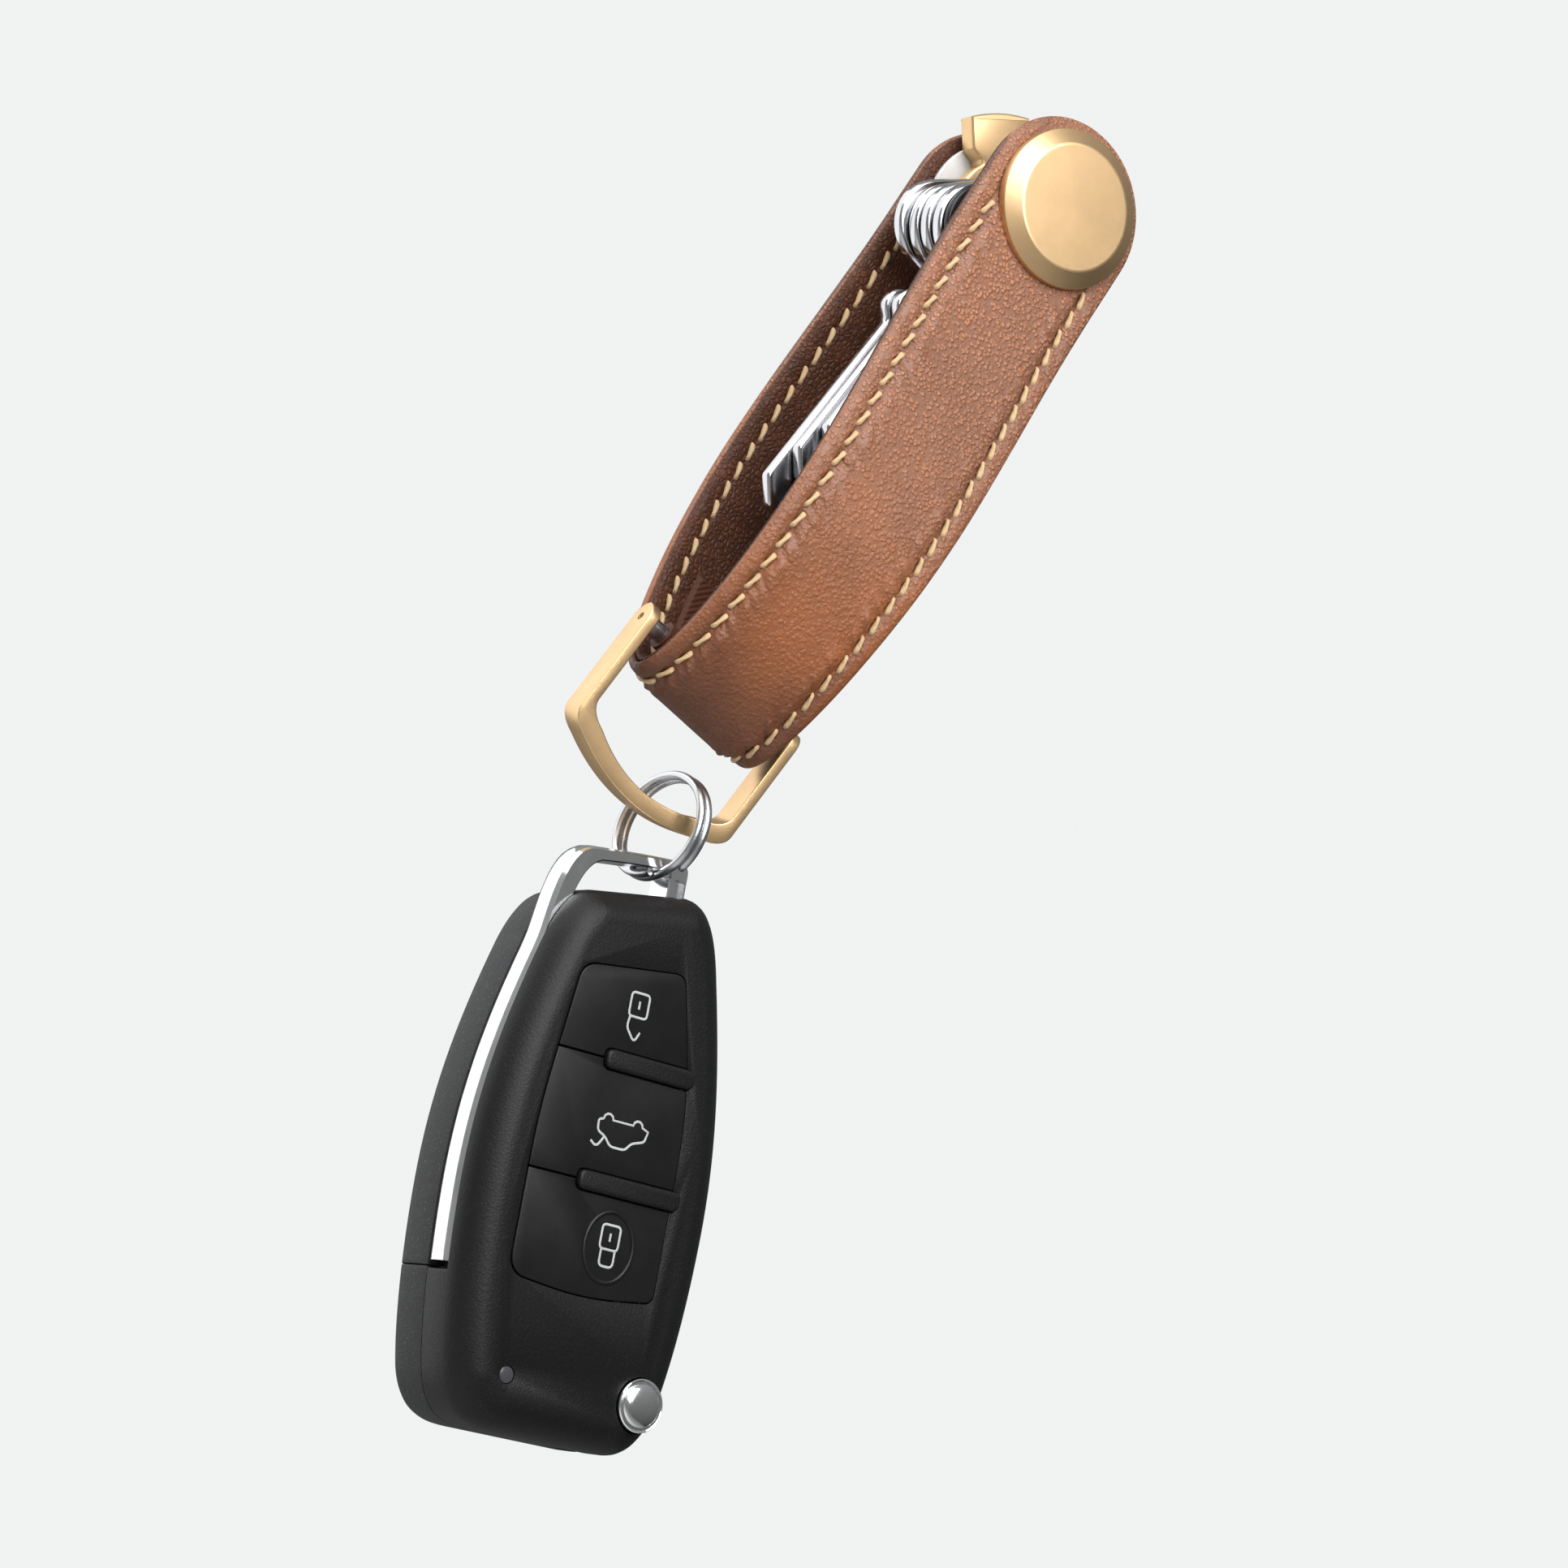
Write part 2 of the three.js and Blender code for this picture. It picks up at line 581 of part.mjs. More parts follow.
function chromeBand() {
  const y0 = BAND.front;
  const y1 = BAND.back;
  const skin = cut(
    alongY(fobOutline(BAND.proud), y0, y1, 8),
    alongY(fobOutline(-BAND.depth), y0 - 1, y1 + 1, 8),
  );
  const leftSide = block(-LARGE, -8.2, y0 - 1, y1 + 1, BAND.end, 28);
  const recess = block(4.8, 6.2, y0 - 1, y0 + 0.5, 31.9, 33.9);
  return cut(skin.intersect(leftSide).add(alongY(loopShape(), y0, y1, 6)), recess);
}

function bandClearance() {
  const y0 = BAND.front - BAND_GAP;
  const y1 = SEAM + 0.02;
  const skin = alongY(fobOutline(2), y0, y1, 6).intersect(
    block(-LARGE, -8, y0, y1, BAND.end - 0.9, 29),
  );
  const keep = alongY(fobOutline(-BAND.depth - BAND_GAP), y0 - 1, y1 + 1, 8);
  return cut(skin, keep).add(alongY(loopShape(BAND_GAP), y0, y1, 6));
}

const bladeSlot = block(5.2, LARGE, -1.4, 1.4, -LARGE, 19.5);
const hubPocket = rodY(BLADE.hub + 0.25, -2.55, 2.55, PIVOT.x, PIVOT.z);

function panelOutline(clear) {
  const { left, right, top, bottom, leanLeft } = PANEL;
  return roundedPolygon([
    [left + leanLeft - clear, top - 0.6 + clear, 2],
    [right - 3.6 + clear, top + 1.2 + clear, 1.5],
    [right + clear, 8, 6],
    [right + clear, bottom + 0.2 - clear, 1.2],
    [0, bottom - 1 - clear, 5],
    [left - clear, bottom - clear, 2.4],
    [left - clear, 4, 5],
  ]);
}

const faceY = -FOB.half;
const keypadHole = alongY(panelOutline(0), faceY - 2, faceY + 3, 5);
const releaseHole = rodY(RELEASE.radius + 0.15, faceY - 2, faceY + 4, PIVOT.x, PIVOT.z);
const ledHole = rodY(LED.radius + 0.05, faceY - 2, faceY + 4, LED.x, LED.z, 20);
const frontShell = cut(
  slab.intersect(inFront),
  bandClearance(), bladeSlot, hubPocket, keypadHole, releaseHole, ledHole,
);
const backHalf = cut(slab.intersect(behind), bladeSlot, hubPocket, bandClearance());
const splitZ = BAND.end - 0.6;
const aboveSplit = block(-LARGE, LARGE, 0, LARGE, splitZ + 0.08, LARGE);
const belowSplit = block(-LARGE, LARGE, 0, LARGE, -LARGE, splitZ - 0.08);
fob.add(
  mesh("front_shell", frontShell, "black_shell"),
  mesh("back_cover", backHalf.intersect(aboveSplit), "grey_shell"),
  mesh("back_housing", backHalf.intersect(belowSplit), "grey_shell"),
  mesh("chrome_band", chromeBand(), "chrome"),
  mesh("led_lens", rodY(LED.radius, faceY + 0.02, faceY + 1.6, LED.x, LED.z, 20), "smoked_lens"),
);

// ---- Buttons, cut from one panel by the divider lines ----
const panelSolid = alongY(
  panelOutline(-BUTTON.gap), faceY - BUTTON.proud, faceY - BUTTON.proud + BUTTON.thickness, 5,
);
const dividerSolids = DIVIDERS.map(({ z, left, right }) => {
  const half = DIVIDER.height / 2;
  const bar = (grow) =>
    roundedPolygon([
      [left - grow, z - half - grow, 1],
      [right + grow, z - half - grow, 1],
      [right + grow, z + half + grow, 1],
      [left - grow, z + half + grow, 1],
    ]);
  const backY = faceY + BUTTON.thickness - BUTTON.proud;
  return {
    bar: alongY(bar(0), faceY - DIVIDER.proud, backY, 4),
    room: alongY(bar(0.12), faceY - 2, backY + 1, 4),
  };
});
const rooms = dividerSolids.map((divider) => divider.room);
const bounds = [LARGE, DIVIDERS[0].z, DIVIDERS[1].z, -LARGE];
["unlock", "boot", "lock"].forEach((name, i) => {
  const slice = block(-LARGE, LARGE, -LARGE, LARGE, bounds[i + 1] + 0.08, bounds[i] - 0.08);
  fob.add(mesh(`${name}_button`, cut(panelSolid.intersect(slice), ...rooms), "black_button"));
});
dividerSolids.forEach(({ bar }, i) => {
  const inside = alongY(panelOutline(-0.08), faceY - 3, faceY + 4, 5);
  fob.add(mesh(`divider_bar_${i + 1}`, bar.intersect(inside), "black_button"));
});

// ---- Release button: a domed chrome cap ----
const domeY = faceY - RELEASE.proud;
const release = turned(
  [
    [0, domeY],
    [1.4, domeY + 0.12],
    [2.4, domeY + 0.5],
    [RELEASE.radius, domeY + RELEASE.proud],
    [RELEASE.radius, RELEASE.base],
    [0, RELEASE.base],
  ],
  32,
);
const releaseMesh = mesh("release_button", release, "chrome");
releaseMesh.position.set(PIVOT.x, 0, PIVOT.z);
fob.add(releaseMesh);

// ---- Flip blade on its hub, and the pivot pin that it turns on ----
function flipBlade() {
  const half = BLADE.width / 2;
  const outline = roundedPolygon([
    [-half + 0.6, 0, 0],
    [half - 0.6, 0, 0],
    [half, 7, 1],
    [half, BLADE.length - 2.5, 0.6],
    [half - 2.5, BLADE.length, 0.6],
    [-half + 2.5, BLADE.length, 0.6],
    [-half, BLADE.length - 2.5, 0.6],
    [-half, 7, 1],
  ]);
  const thick = BLADE.thickness / 2;
  const groove = block(-0.8, 0.8, -thick - 1, -thick + 0.7, 8, BLADE.length - 4);
  const blank = cut(alongY(outline, -thick, thick, 3), groove);
  const hub = rodY(BLADE.hub, -BLADE.hubHalf, BLADE.hubHalf);
  return cut(hub.add(blank), rodY(PIN.radius + RUNNING_GAP, -5, 5, 0, 0, 20));
}
const bladeMesh = mesh("flip_blade", flipBlade(), "nickel");
bladeMesh.position.set(PIVOT.x, 0, PIVOT.z);
bladeMesh.rotation.y = rad(BLADE.lean);
const pin = rodY(PIN.radius, PIN.front, PIN.back, PIVOT.x, PIVOT.z, 20);
fob.add(bladeMesh, mesh("pivot_pin", pin, "steel"));

// ---- Inside: rubber mat, circuit board, battery ----
const matFront = faceY - BUTTON.proud + BUTTON.thickness + 0.75;
const inside = (y0, y1, shape) => alongY(roundedPolygon(shape), y0, y1, 4);
const plate = [[-9, 19.5, 2], [5, 19.5, 2], [5, -13, 2], [-9, -13, 2]];
const board = [[-8.6, 20, 2], [4.6, 20, 2], [4.6, -19.5, 2], [-8.6, -19.5, 2]];
fob.add(
  mesh("keypad_mat", inside(matFront, matFront + 0.8, plate), "rubber_mat"),
  mesh("circuit_board", inside(matFront + 0.9, matFront + 1.9, board), "green_board"),
  mesh("coin_cell", rodY(7, 1.8, 5, -3.4, 6, 36), "steel"),
);

export default part;
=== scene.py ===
"""A leather key organiser with its D-ring, split ring and remote flip key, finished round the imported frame.

Lengths inside the builders are millimetres in the frame's axes: X across the strap, Y from the front
disc to the back disc, Z up to the disc end. The remote key has axes of its own, with its buttons at -Y.
"""

import json
import math

import bmesh
import bpy
import numpy as np
from bpy.props import FloatProperty, FloatVectorProperty, PointerProperty
from mathutils import Matrix, Vector, geometry, noise


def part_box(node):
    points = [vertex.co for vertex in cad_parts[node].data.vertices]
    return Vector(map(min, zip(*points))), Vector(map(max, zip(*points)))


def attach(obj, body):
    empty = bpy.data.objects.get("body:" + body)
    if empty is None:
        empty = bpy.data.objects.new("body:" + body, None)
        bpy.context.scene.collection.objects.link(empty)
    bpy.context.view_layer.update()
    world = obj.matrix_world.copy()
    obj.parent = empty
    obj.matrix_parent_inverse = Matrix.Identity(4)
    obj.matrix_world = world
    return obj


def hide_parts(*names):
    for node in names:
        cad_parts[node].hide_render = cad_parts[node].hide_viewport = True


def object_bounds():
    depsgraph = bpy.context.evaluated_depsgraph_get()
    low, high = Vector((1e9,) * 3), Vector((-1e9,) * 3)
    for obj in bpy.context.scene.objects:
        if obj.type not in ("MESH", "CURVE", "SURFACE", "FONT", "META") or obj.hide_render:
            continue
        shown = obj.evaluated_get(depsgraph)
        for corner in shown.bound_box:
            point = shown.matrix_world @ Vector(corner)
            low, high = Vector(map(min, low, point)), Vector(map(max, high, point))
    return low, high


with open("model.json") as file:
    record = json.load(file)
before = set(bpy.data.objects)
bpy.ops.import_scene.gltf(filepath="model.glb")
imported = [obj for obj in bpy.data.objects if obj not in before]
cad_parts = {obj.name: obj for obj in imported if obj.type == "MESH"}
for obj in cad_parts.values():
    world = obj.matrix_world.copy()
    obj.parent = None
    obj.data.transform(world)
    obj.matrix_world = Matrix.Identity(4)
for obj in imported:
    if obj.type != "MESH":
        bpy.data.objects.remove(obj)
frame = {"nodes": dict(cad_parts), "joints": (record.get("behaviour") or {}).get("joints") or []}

bl_info = {
    "name": "Leather key organiser",
    "version": (1, 0, 0),
    "blender": (4, 5, 0),
    "location": "View3D > Sidebar > Key organiser",
    "description": "Builds the strap, keys, rings and remote key of a leather key organiser",
    "category": "Add Mesh",
}

CAD_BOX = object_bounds()
MM = 0.001


def corners(node):
    """Lowest and highest corner of a frame node, in millimetres."""
    return [Vector(corner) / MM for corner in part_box(node)]


def turned(degrees, axis):
    return Matrix.Rotation(math.radians(degrees), 4, axis)


def moved(x, y, z):
    return Matrix.Translation((x * MM, y * MM, z * MM))


STRAP_LOW, STRAP_HIGH = corners("outer_leather")
HALF_WIDTH = STRAP_HIGH.x
MID_Y = (STRAP_LOW.y + STRAP_HIGH.y) / 2
BELLY_HALF = (STRAP_HIGH.y - STRAP_LOW.y) / 2
BACK_Y = corners("back_disc")[1].y
DISC_HEIGHT = 2.42
# Leather at the bottom of the bend: a deeper tone, darkened further with painted shade for the light's
# falloff there.
BEND_TONE_AND_SHADE = (0.105, 0.032, 0.012)
AMBER = (0.27, 0.082, 0.022)
BODY_HALF = BACK_Y / 2 - DISC_HEIGHT
TIP_HALF_WIDTH = 9.5
BELLY_Z = -44
TIP_Z = STRAP_LOW.z
OUTER_DEPTH = 1.2
LINING_TOP = 1.25
LINING_BOTTOM = 2.15
STITCH_EDGE = 2.6
STITCH_START = 5.4
POST_HOLE = 3.05


# ---- Sizes and colours that a user would change ----
def length(name, description, default):
    return FloatProperty(name=name, description=description, default=default, min=0, unit="LENGTH")


def colour(name, description, default):
    return FloatVectorProperty(
        name=name, description=description, default=default, subtype="COLOR", size=3, min=0, max=1
    )


class StrapSettings(bpy.types.PropertyGroup):
    stitch_pitch: length("Stitch pitch", "Distance from one stitch to the next", 0.00290)
    thread: length("Thread", "Thickness of the sewing thread", 0.00064)
    padding: length("Padding", "How far the panel between the stitches swells", 0.00050)
    grain: length("Grain", "Depth of the pebble grain", 0.00017)
    leather: colour("Leather", "Colour of the outer leather", (0.40, 0.165, 0.085))
    lining: colour("Lining", "Colour of the lining leather", (0.095, 0.028, 0.010))
    thread_colour: colour("Thread colour", "Colour of the sewing thread", (0.66, 0.45, 0.23))


class HardwareSettings(bpy.types.PropertyGroup):
    rounding: length("Rounding", "Radius on the rims of keys and rings", 0.00045)
    gold: colour("Gold", "Colour of the discs, tab and D-ring", (0.73, 0.50, 0.27))
    nickel: colour("Nickel", "Colour of the polished keys", (0.58, 0.58, 0.60))
    steel: colour("Steel", "Colour of the split ring", (0.62, 0.63, 0.65))


class RemoteSettings(bpy.types.PropertyGroup):
    wall: length("Wall", "Thickness of the remote key's shells", 0.0015)
    shell: colour("Shell", "Colour of the front shell", (0.0045, 0.0045, 0.005))
    back: colour("Back", "Colour of the back shells", (0.028, 0.0285, 0.030))
    icon: colour("Icon", "Colour of the printed icons", (0.40, 0.41, 0.41))


class StageSettings(bpy.types.PropertyGroup):
    floor_drop: length("Floor drop", "How far the floor lies below the post", 0.7)
    key_light: FloatProperty(name="Key light", description="Strength of the main softbox",
                             default=4.5, min=0, unit="POWER")
    backdrop: colour("Backdrop", "Colour behind the object", (0.875, 0.892, 0.885))


# ---- Shader arithmetic ----
class Field:
    """A shader socket that Python arithmetic works on."""

    def __init__(self, finish, socket):
        self.finish, self.socket = finish, socket

    def math(self, operation, *values):
        made = self.finish.node("ShaderNodeMath", {"operation": operation}, dict(enumerate(values)))
        return Field(self.finish, made.outputs[0])

    def __add__(self, other):
        return self.math("ADD", self, other)

    def __sub__(self, other):
        return self.math("SUBTRACT", self, other)

    def __rsub__(self, other):
        return self.math("SUBTRACT", other, self)

    def __mul__(self, other):
        return self.math("MULTIPLY", self, other)

    def __abs__(self):
        return self.math("ABSOLUTE", self)

    __radd__ = __add__
    __rmul__ = __mul__


class Nodes:
    """An emptied node tree, and the one way in which its nodes are made."""

    def __init__(self, tree):
        self.tree = tree
        tree.nodes.clear()

    def node(self, kind, settings=None, inputs=None):
        made = self.tree.nodes.new(kind)
        for name, value in (settings or {}).items():
            setattr(made, name, value)
        for name, value in (inputs or {}).items():
            self.feed(made.inputs[name], value)
        return made

    def feed(self, socket, value):
        value = value.socket if isinstance(value, Field) else value
        if isinstance(value, bpy.types.NodeSocket):
            self.tree.links.new(value, socket)
        elif socket.type == "RGBA" and len(value) == 3:
            socket.default_value = (*value, 1)
        else:
            socket.default_value = value


class Finish(Nodes):
    """One material: a Principled surface and the patterns that vary it, scaled per millimetre."""

    def __init__(self, name, base, roughness, metallic=0.0, fixed=None):
        self.material = bpy.data.materials.new(name)
        self.material.use_nodes = True
        super().__init__(self.material.node_tree)
        constants = {"Base Color": base, "Roughness": roughness, "Metallic": metallic}
        self.surface = self.node("ShaderNodeBsdfPrincipled", None, {**constants, **(fixed or {})})
        self.output = self.node("ShaderNodeOutputMaterial", None, {"Surface": self.surface.outputs[0]})
        self.where = self.node("ShaderNodeTexCoord").outputs["Object"]

    def vary(self, **inputs):
        """Feed patterns to the surface: base_color=..., roughness=..., normal=..."""
        for name, value in inputs.items():
            self.feed(self.surface.inputs[name.replace("_", " ").title()], value)
        return self.material

    def scaled(self, scale, stretch=(1, 1, 1)):
        factors = tuple(scale / MM * k for k in stretch)
        made = self.node("ShaderNodeVectorMath", {"operation": "MULTIPLY"}, {0: self.where, 1: factors})
        return made.outputs[0]

    def axis(self, index):
        made = self.node("ShaderNodeSeparateXYZ", None, {0: self.scaled(1)})
        return Field(self, made.outputs[index])

    def noise(self, scale, detail=3.0, roughness=0.5, stretch=(1, 1, 1)):
        inputs = {"Vector": self.scaled(scale, stretch), "Scale": 1, "Detail": detail, "Roughness": roughness}
        return Field(self, self.node("ShaderNodeTexNoise", None, inputs).outputs[0])

    def cells(self, scale, wobble=0.3, feature="DISTANCE_TO_EDGE"):
        """Cell pattern on coordinates bent by noise, for grain."""
        at = self.scaled(scale)
        bend = self.node("ShaderNodeTexNoise", None, {"Vector": at, "Scale": 1.3, "Detail": 2.0})
        inputs = {0: bend.outputs["Color"], 1: (wobble,) * 3, 2: at}
        bent = self.node("ShaderNodeVectorMath", {"operation": "MULTIPLY_ADD"}, inputs)
        inputs = {"Vector": bent.outputs[0], "Scale": 1}
        made = self.node("ShaderNodeTexVoronoi", {"feature": feature}, inputs)
        return Field(self, made.outputs["Distance"])

    def smooth(self, value, low, high):
        settings = {"interpolation_type": "SMOOTHSTEP"}
        made = self.node("ShaderNodeMapRange", settings, {0: value, 1: low, 2: high})
        return Field(self, made.outputs[0])

    def mix(self, factor, first, second):
        settings = {"data_type": "RGBA", "blend_type": "MIX"}
        return self.node("ShaderNodeMix", settings, {0: factor, 6: first, 7: second}).outputs[2]

    def bump(self, height, depth, strength=1.0):
        """Height from 0 to 1 becomes relief of the given depth in millimetres."""
        inputs = {"Height": height, "Distance": depth * MM, "Strength": strength}
        return self.node("ShaderNodeBump", None, inputs).outputs[0]


def shade(base, factor):
    """The colour made darker or lighter."""
    return tuple(min(1.0, channel * factor) for channel in base)


# ---- Finishes ----
def outer_leather_finish(settings):
    """Pebbled tan leather, pale at the disc end and deeper amber towards the bend, with painted shade
    darkening the bend's bottom.
    """
    base = settings.leather
    f = Finish("waxed_tan_leather", base, 0.45, 0, {"Specular IOR Level": 0.5, "Coat Roughness": 0.38})
    z = f.axis(2)
    upper = f.smooth(z, -66, -26)
    middle = f.smooth(z, -79, -62)
    pebble = 1 - f.smooth(f.cells(1.8, 0.75, "F1"), 0.16, 0.66)
    worm = f.noise(2.6, 3, 0.6)
    broad = f.noise(0.09, 3, 0.55)
    mottled = f.noise(0.7, 4, 0.65)
    across = abs(f.axis(0))
    drift = f.smooth(broad, 0.32, 0.68)
    # low: the bend's bottom, its leather tone darkened with painted shade
    low = f.mix(drift, shade(BEND_TONE_AND_SHADE, 0.8), shade(BEND_TONE_AND_SHADE, 1.15))
    belly = f.mix(drift, shade(AMBER, 0.8), shade(AMBER, 1.15))
    tint = f.mix(upper, f.mix(middle, low, belly), f.mix(drift, shade(base, 0.9), shade(base, 1.12)))
    tint = f.mix((1 - pebble) * (0.22 + 0.42 * upper), tint, shade(base, 0.30))
    tint = f.mix(f.smooth(mottled, 0.52, 0.8) * 0.4, tint, shade(base, 0.5))
    # A darker band along the inner side of the sewn groove: painted shade where the groove meets the padded
    # panel's shoulder.
    tint = f.mix(f.smooth(across, 8.7, 8.1) * f.smooth(across, 7.3, 7.9) * 0.45, tint, shade(base, 0.3))
    tint = f.mix(f.smooth(across, 10.6, 10.95) * 0.8, tint, shade(base, 0.2))
    height = pebble * (0.35 + 0.65 * upper) + worm * 0.55
    return f.vary(base_color=tint, roughness=0.36 + 0.16 * mottled + 0.08 * (1 - pebble),
                  coat_weight=0.10 + 0.25 * f.smooth(mottled, 0.6, 0.35),
                  normal=f.bump(height, settings.grain / MM))


def lining_finish(settings):
    f = Finish("lining_leather", settings.lining, 0.55, 0, {"Specular IOR Level": 0.35})
    pebble = f.smooth(f.cells(1.5), 0.0, 0.3)
    mottled = f.noise(0.35, 4, 0.6)
    tint = f.mix(f.smooth(mottled, 0.3, 0.75), shade(settings.lining, 0.75), shade(settings.lining, 1.35))
    tint = f.mix((1 - pebble) * 0.6, tint, shade(settings.lining, 0.4))
    height = pebble + f.noise(5, 2) * 0.3
    return f.vary(base_color=tint, roughness=0.46 + 0.16 * mottled, normal=f.bump(height, 0.1))


def ribbed_finish(settings):
    f = Finish("ribbed_lining", shade(settings.lining, 0.8), 0.62, 0, {"Specular IOR Level": 0.3})
    woven = f.noise(3.2, 3, 0.6)
    tint = f.mix(woven, shade(settings.lining, 0.5), shade(settings.lining, 1.15))
    return f.vary(base_color=tint, roughness=0.5 + 0.25 * woven, normal=f.bump(woven, 0.05))


def thread_finish(settings):
    f = Finish("waxed_thread", settings.thread_colour, 0.6, 0, {"Sheen Weight": 0.25})
    fibre = f.noise(9, 3, 0.6, (1, 1, 0.35))
    worn = f.noise(0.25, 2)
    tint = f.mix(fibre, shade(settings.thread_colour, 0.6), shade(settings.thread_colour, 1.2))
    tint = f.mix(f.smooth(worn, 0.5, 0.8) * 0.4, tint, shade(settings.thread_colour, 0.55))
    return f.vary(base_color=tint, roughness=0.5 + 0.2 * fibre, normal=f.bump(fibre, 0.06))


def blasted_gold_finish(settings):
    f = Finish("bead_blasted_gold", settings.gold, 0.4, 1)
    grit = f.noise(7, 2, 0.6)
    cloud = f.noise(0.22, 3)
    tint = f.mix(cloud, shade(settings.gold, 0.86), shade(settings.gold, 1.14))
    tint = f.mix(f.smooth(grit, 0.58, 0.75) * 0.4, tint, shade(settings.gold, 0.6))
    return f.vary(base_color=tint, roughness=0.34 + 0.14 * grit, normal=f.bump(grit, 0.014))


def spun_gold_finish(settings):
    """Fine rings about the piece's own Z axis, with the streaks that a lathe leaves."""
    # The spun face's gold is paler than the blasted gold: a painted highlight for the brighter look of the
    # turned face.
    base = tuple(0.62 + 0.32 * channel for channel in settings.gold)
    f = Finish("spun_gold", base, 0.28, 1, {"Anisotropic": 1.0})
    x, y = f.axis(0), f.axis(1)
    square = x * x + y * y
    radius = square.math("SQRT", square)
    along = f.node("ShaderNodeCombineXYZ", None, {0: radius})
    rings = {"Vector": along.outputs[0], "Scale": 7, "Detail": 3.0, "Roughness": 0.7}
    ring = Field(f, f.node("ShaderNodeTexNoise", None, rings).outputs[0])
    tint = f.mix(ring, shade(base, 0.72), shade(base, 1.04))
    return f.vary(base_color=tint, roughness=0.34 + 0.12 * ring, normal=f.bump(ring, 0.003))


def polished_finish(name, base, roughness, scratch=0.5):
    f = Finish(name, base, roughness, 1)
    hair = f.noise(2.2, 4, 0.65, (1, 1, 0.06))
    smudge = f.noise(0.35, 3)
    tint = f.mix(smudge, shade(base, 0.86), shade(base, 1.06))
    tint = f.mix(f.smooth(hair, 0.58, 0.75) * scratch, tint, shade(base, 0.55))
    return f.vary(base_color=tint, roughness=roughness + 0.14 * smudge, normal=f.bump(hair, 0.0015))


def moulded_finish(name, base, roughness=0.5, texture=0.03, glint_strength=0.5):
    """Spark textured plastic, with pale flecks painted into the colour as glints where the texture catches
    the light.
    """
    f = Finish(name, base, roughness, 0, {"Specular IOR Level": 0.28})
    spark = f.cells(3.4, 0.5, "F1")
    fine = f.noise(7, 2, 0.6)
    # Pale specks painted into the colour: painted glints of the spark texture.
    painted_glints = f.smooth(f.noise(4.5, 1), 0.63, 0.72)
    tint = f.mix(fine, shade(base, 0.75), shade(base, 1.35))
    tint = f.mix(painted_glints * glint_strength, tint, shade(base, 4.5))
    height = spark * 0.6 + fine * 0.4
    return f.vary(base_color=tint, roughness=roughness - 0.08 + 0.16 * fine, normal=f.bump(height, texture))


def satin_finish(name, base, roughness=0.4):
    f = Finish(name, base, roughness, 0, {"Specular IOR Level": 0.32})
    fine = f.noise(8, 2)
    wear = f.noise(0.3, 3)
    tint = f.mix(wear, shade(base, 0.8), shade(base, 1.4))
    return f.vary(base_color=tint, roughness=roughness - 0.05 + 0.12 * wear, normal=f.bump(fine, 0.006))


def board_finish():
    f = Finish("solder_resist", (0.02, 0.10, 0.04), 0.4)
    cell = f.smooth(f.cells(0.5, 0, "F1"), 0.42, 0.5)
    tint = f.mix(cell, (0.02, 0.10, 0.04), (0.05, 0.22, 0.09))
    return f.vary(base_color=tint, roughness=0.35 + 0.2 * cell, normal=f.bump(cell, 0.03))


FINISHES = {}


def finish_for(name):
    """The named finish, made once."""
    scene = bpy.context.scene
    strap, metal, remote = scene.ko_strap, scene.ko_hardware, scene.ko_remote
    makers = {
        "leather": lambda: outer_leather_finish(strap),
        "lining": lambda: lining_finish(strap),
        "ribbed": lambda: ribbed_finish(strap),
        "thread": lambda: thread_finish(strap),
        "gold": lambda: blasted_gold_finish(metal),
        "spun_gold": lambda: spun_gold_finish(metal),
        "nickel": lambda: polished_finish("polished_nickel", metal.nickel, 0.10),
        "steel": lambda: polished_finish("drawn_steel", metal.steel, 0.2, 0.3),
        "chrome": lambda: polished_finish("plated_chrome", (0.86, 0.87, 0.88), 0.06, 0.12),
        "shell": lambda: moulded_finish("front_shell_plastic", remote.shell, 0.46),
        "back": lambda: moulded_finish("back_shell_plastic", remote.back, 0.55, 0.04),
        "button": lambda: satin_finish("button_rubber", (0.005, 0.005, 0.0055)),
        "cap": lambda: satin_finish("key_cap_plastic", (0.010, 0.011, 0.013), 0.3),
        "icon": lambda: satin_finish("icon_print", remote.icon, 0.45),
        "lens": lambda: satin_finish("smoked_lens", (0.05, 0.05, 0.055), 0.2),
        "nylon": lambda: satin_finish("white_nylon", (0.55, 0.55, 0.54), 0.4),
        "board": board_finish,
        "mat": lambda: satin_finish("rubber_mat", (0.02, 0.02, 0.022), 0.7),
    }
    if name not in FINISHES:
        FINISHES[name] = makers[name]()
    return FINISHES[name]


# ---- Mesh building ----
def link(obj):
    bpy.context.scene.collection.objects.link(obj)
    return obj


def raw(name, points, faces):
    """A mesh object from points in millimetres, welded, with its faces pointing out."""
    mesh = bpy.data.meshes.new(name)
    mesh.from_pydata([tuple(v * MM for v in p) for p in points], [], faces)
    edited = bmesh.new()
    edited.from_mesh(mesh)
    bmesh.ops.remove_doubles(edited, verts=edited.verts, dist=2e-6)
    bmesh.ops.recalc_face_normals(edited, faces=edited.faces)
    edited.to_mesh(mesh)
    edited.free()
    return link(bpy.data.objects.new(name, mesh))


def loft(name, rings, closed=False):
    """A skin through rings of equal count, closed on itself or with a lid at each end."""
    count = len(rings[0])
    points = [p for ring in rings for p in ring]
    spans = range(len(rings) if closed else len(rings) - 1)
    faces = []
    for i in spans:
        here, there = i * count, (i + 1) % len(rings) * count
        for j in range(count):
            k = (j + 1) % count
            faces.append((here + j, here + k, there + k, there + j))
    if not closed:
        faces.append(tuple(range(count)))
        faces.append(tuple(range((len(rings) - 1) * count, len(rings) * count)))
    return raw(name, points, faces)


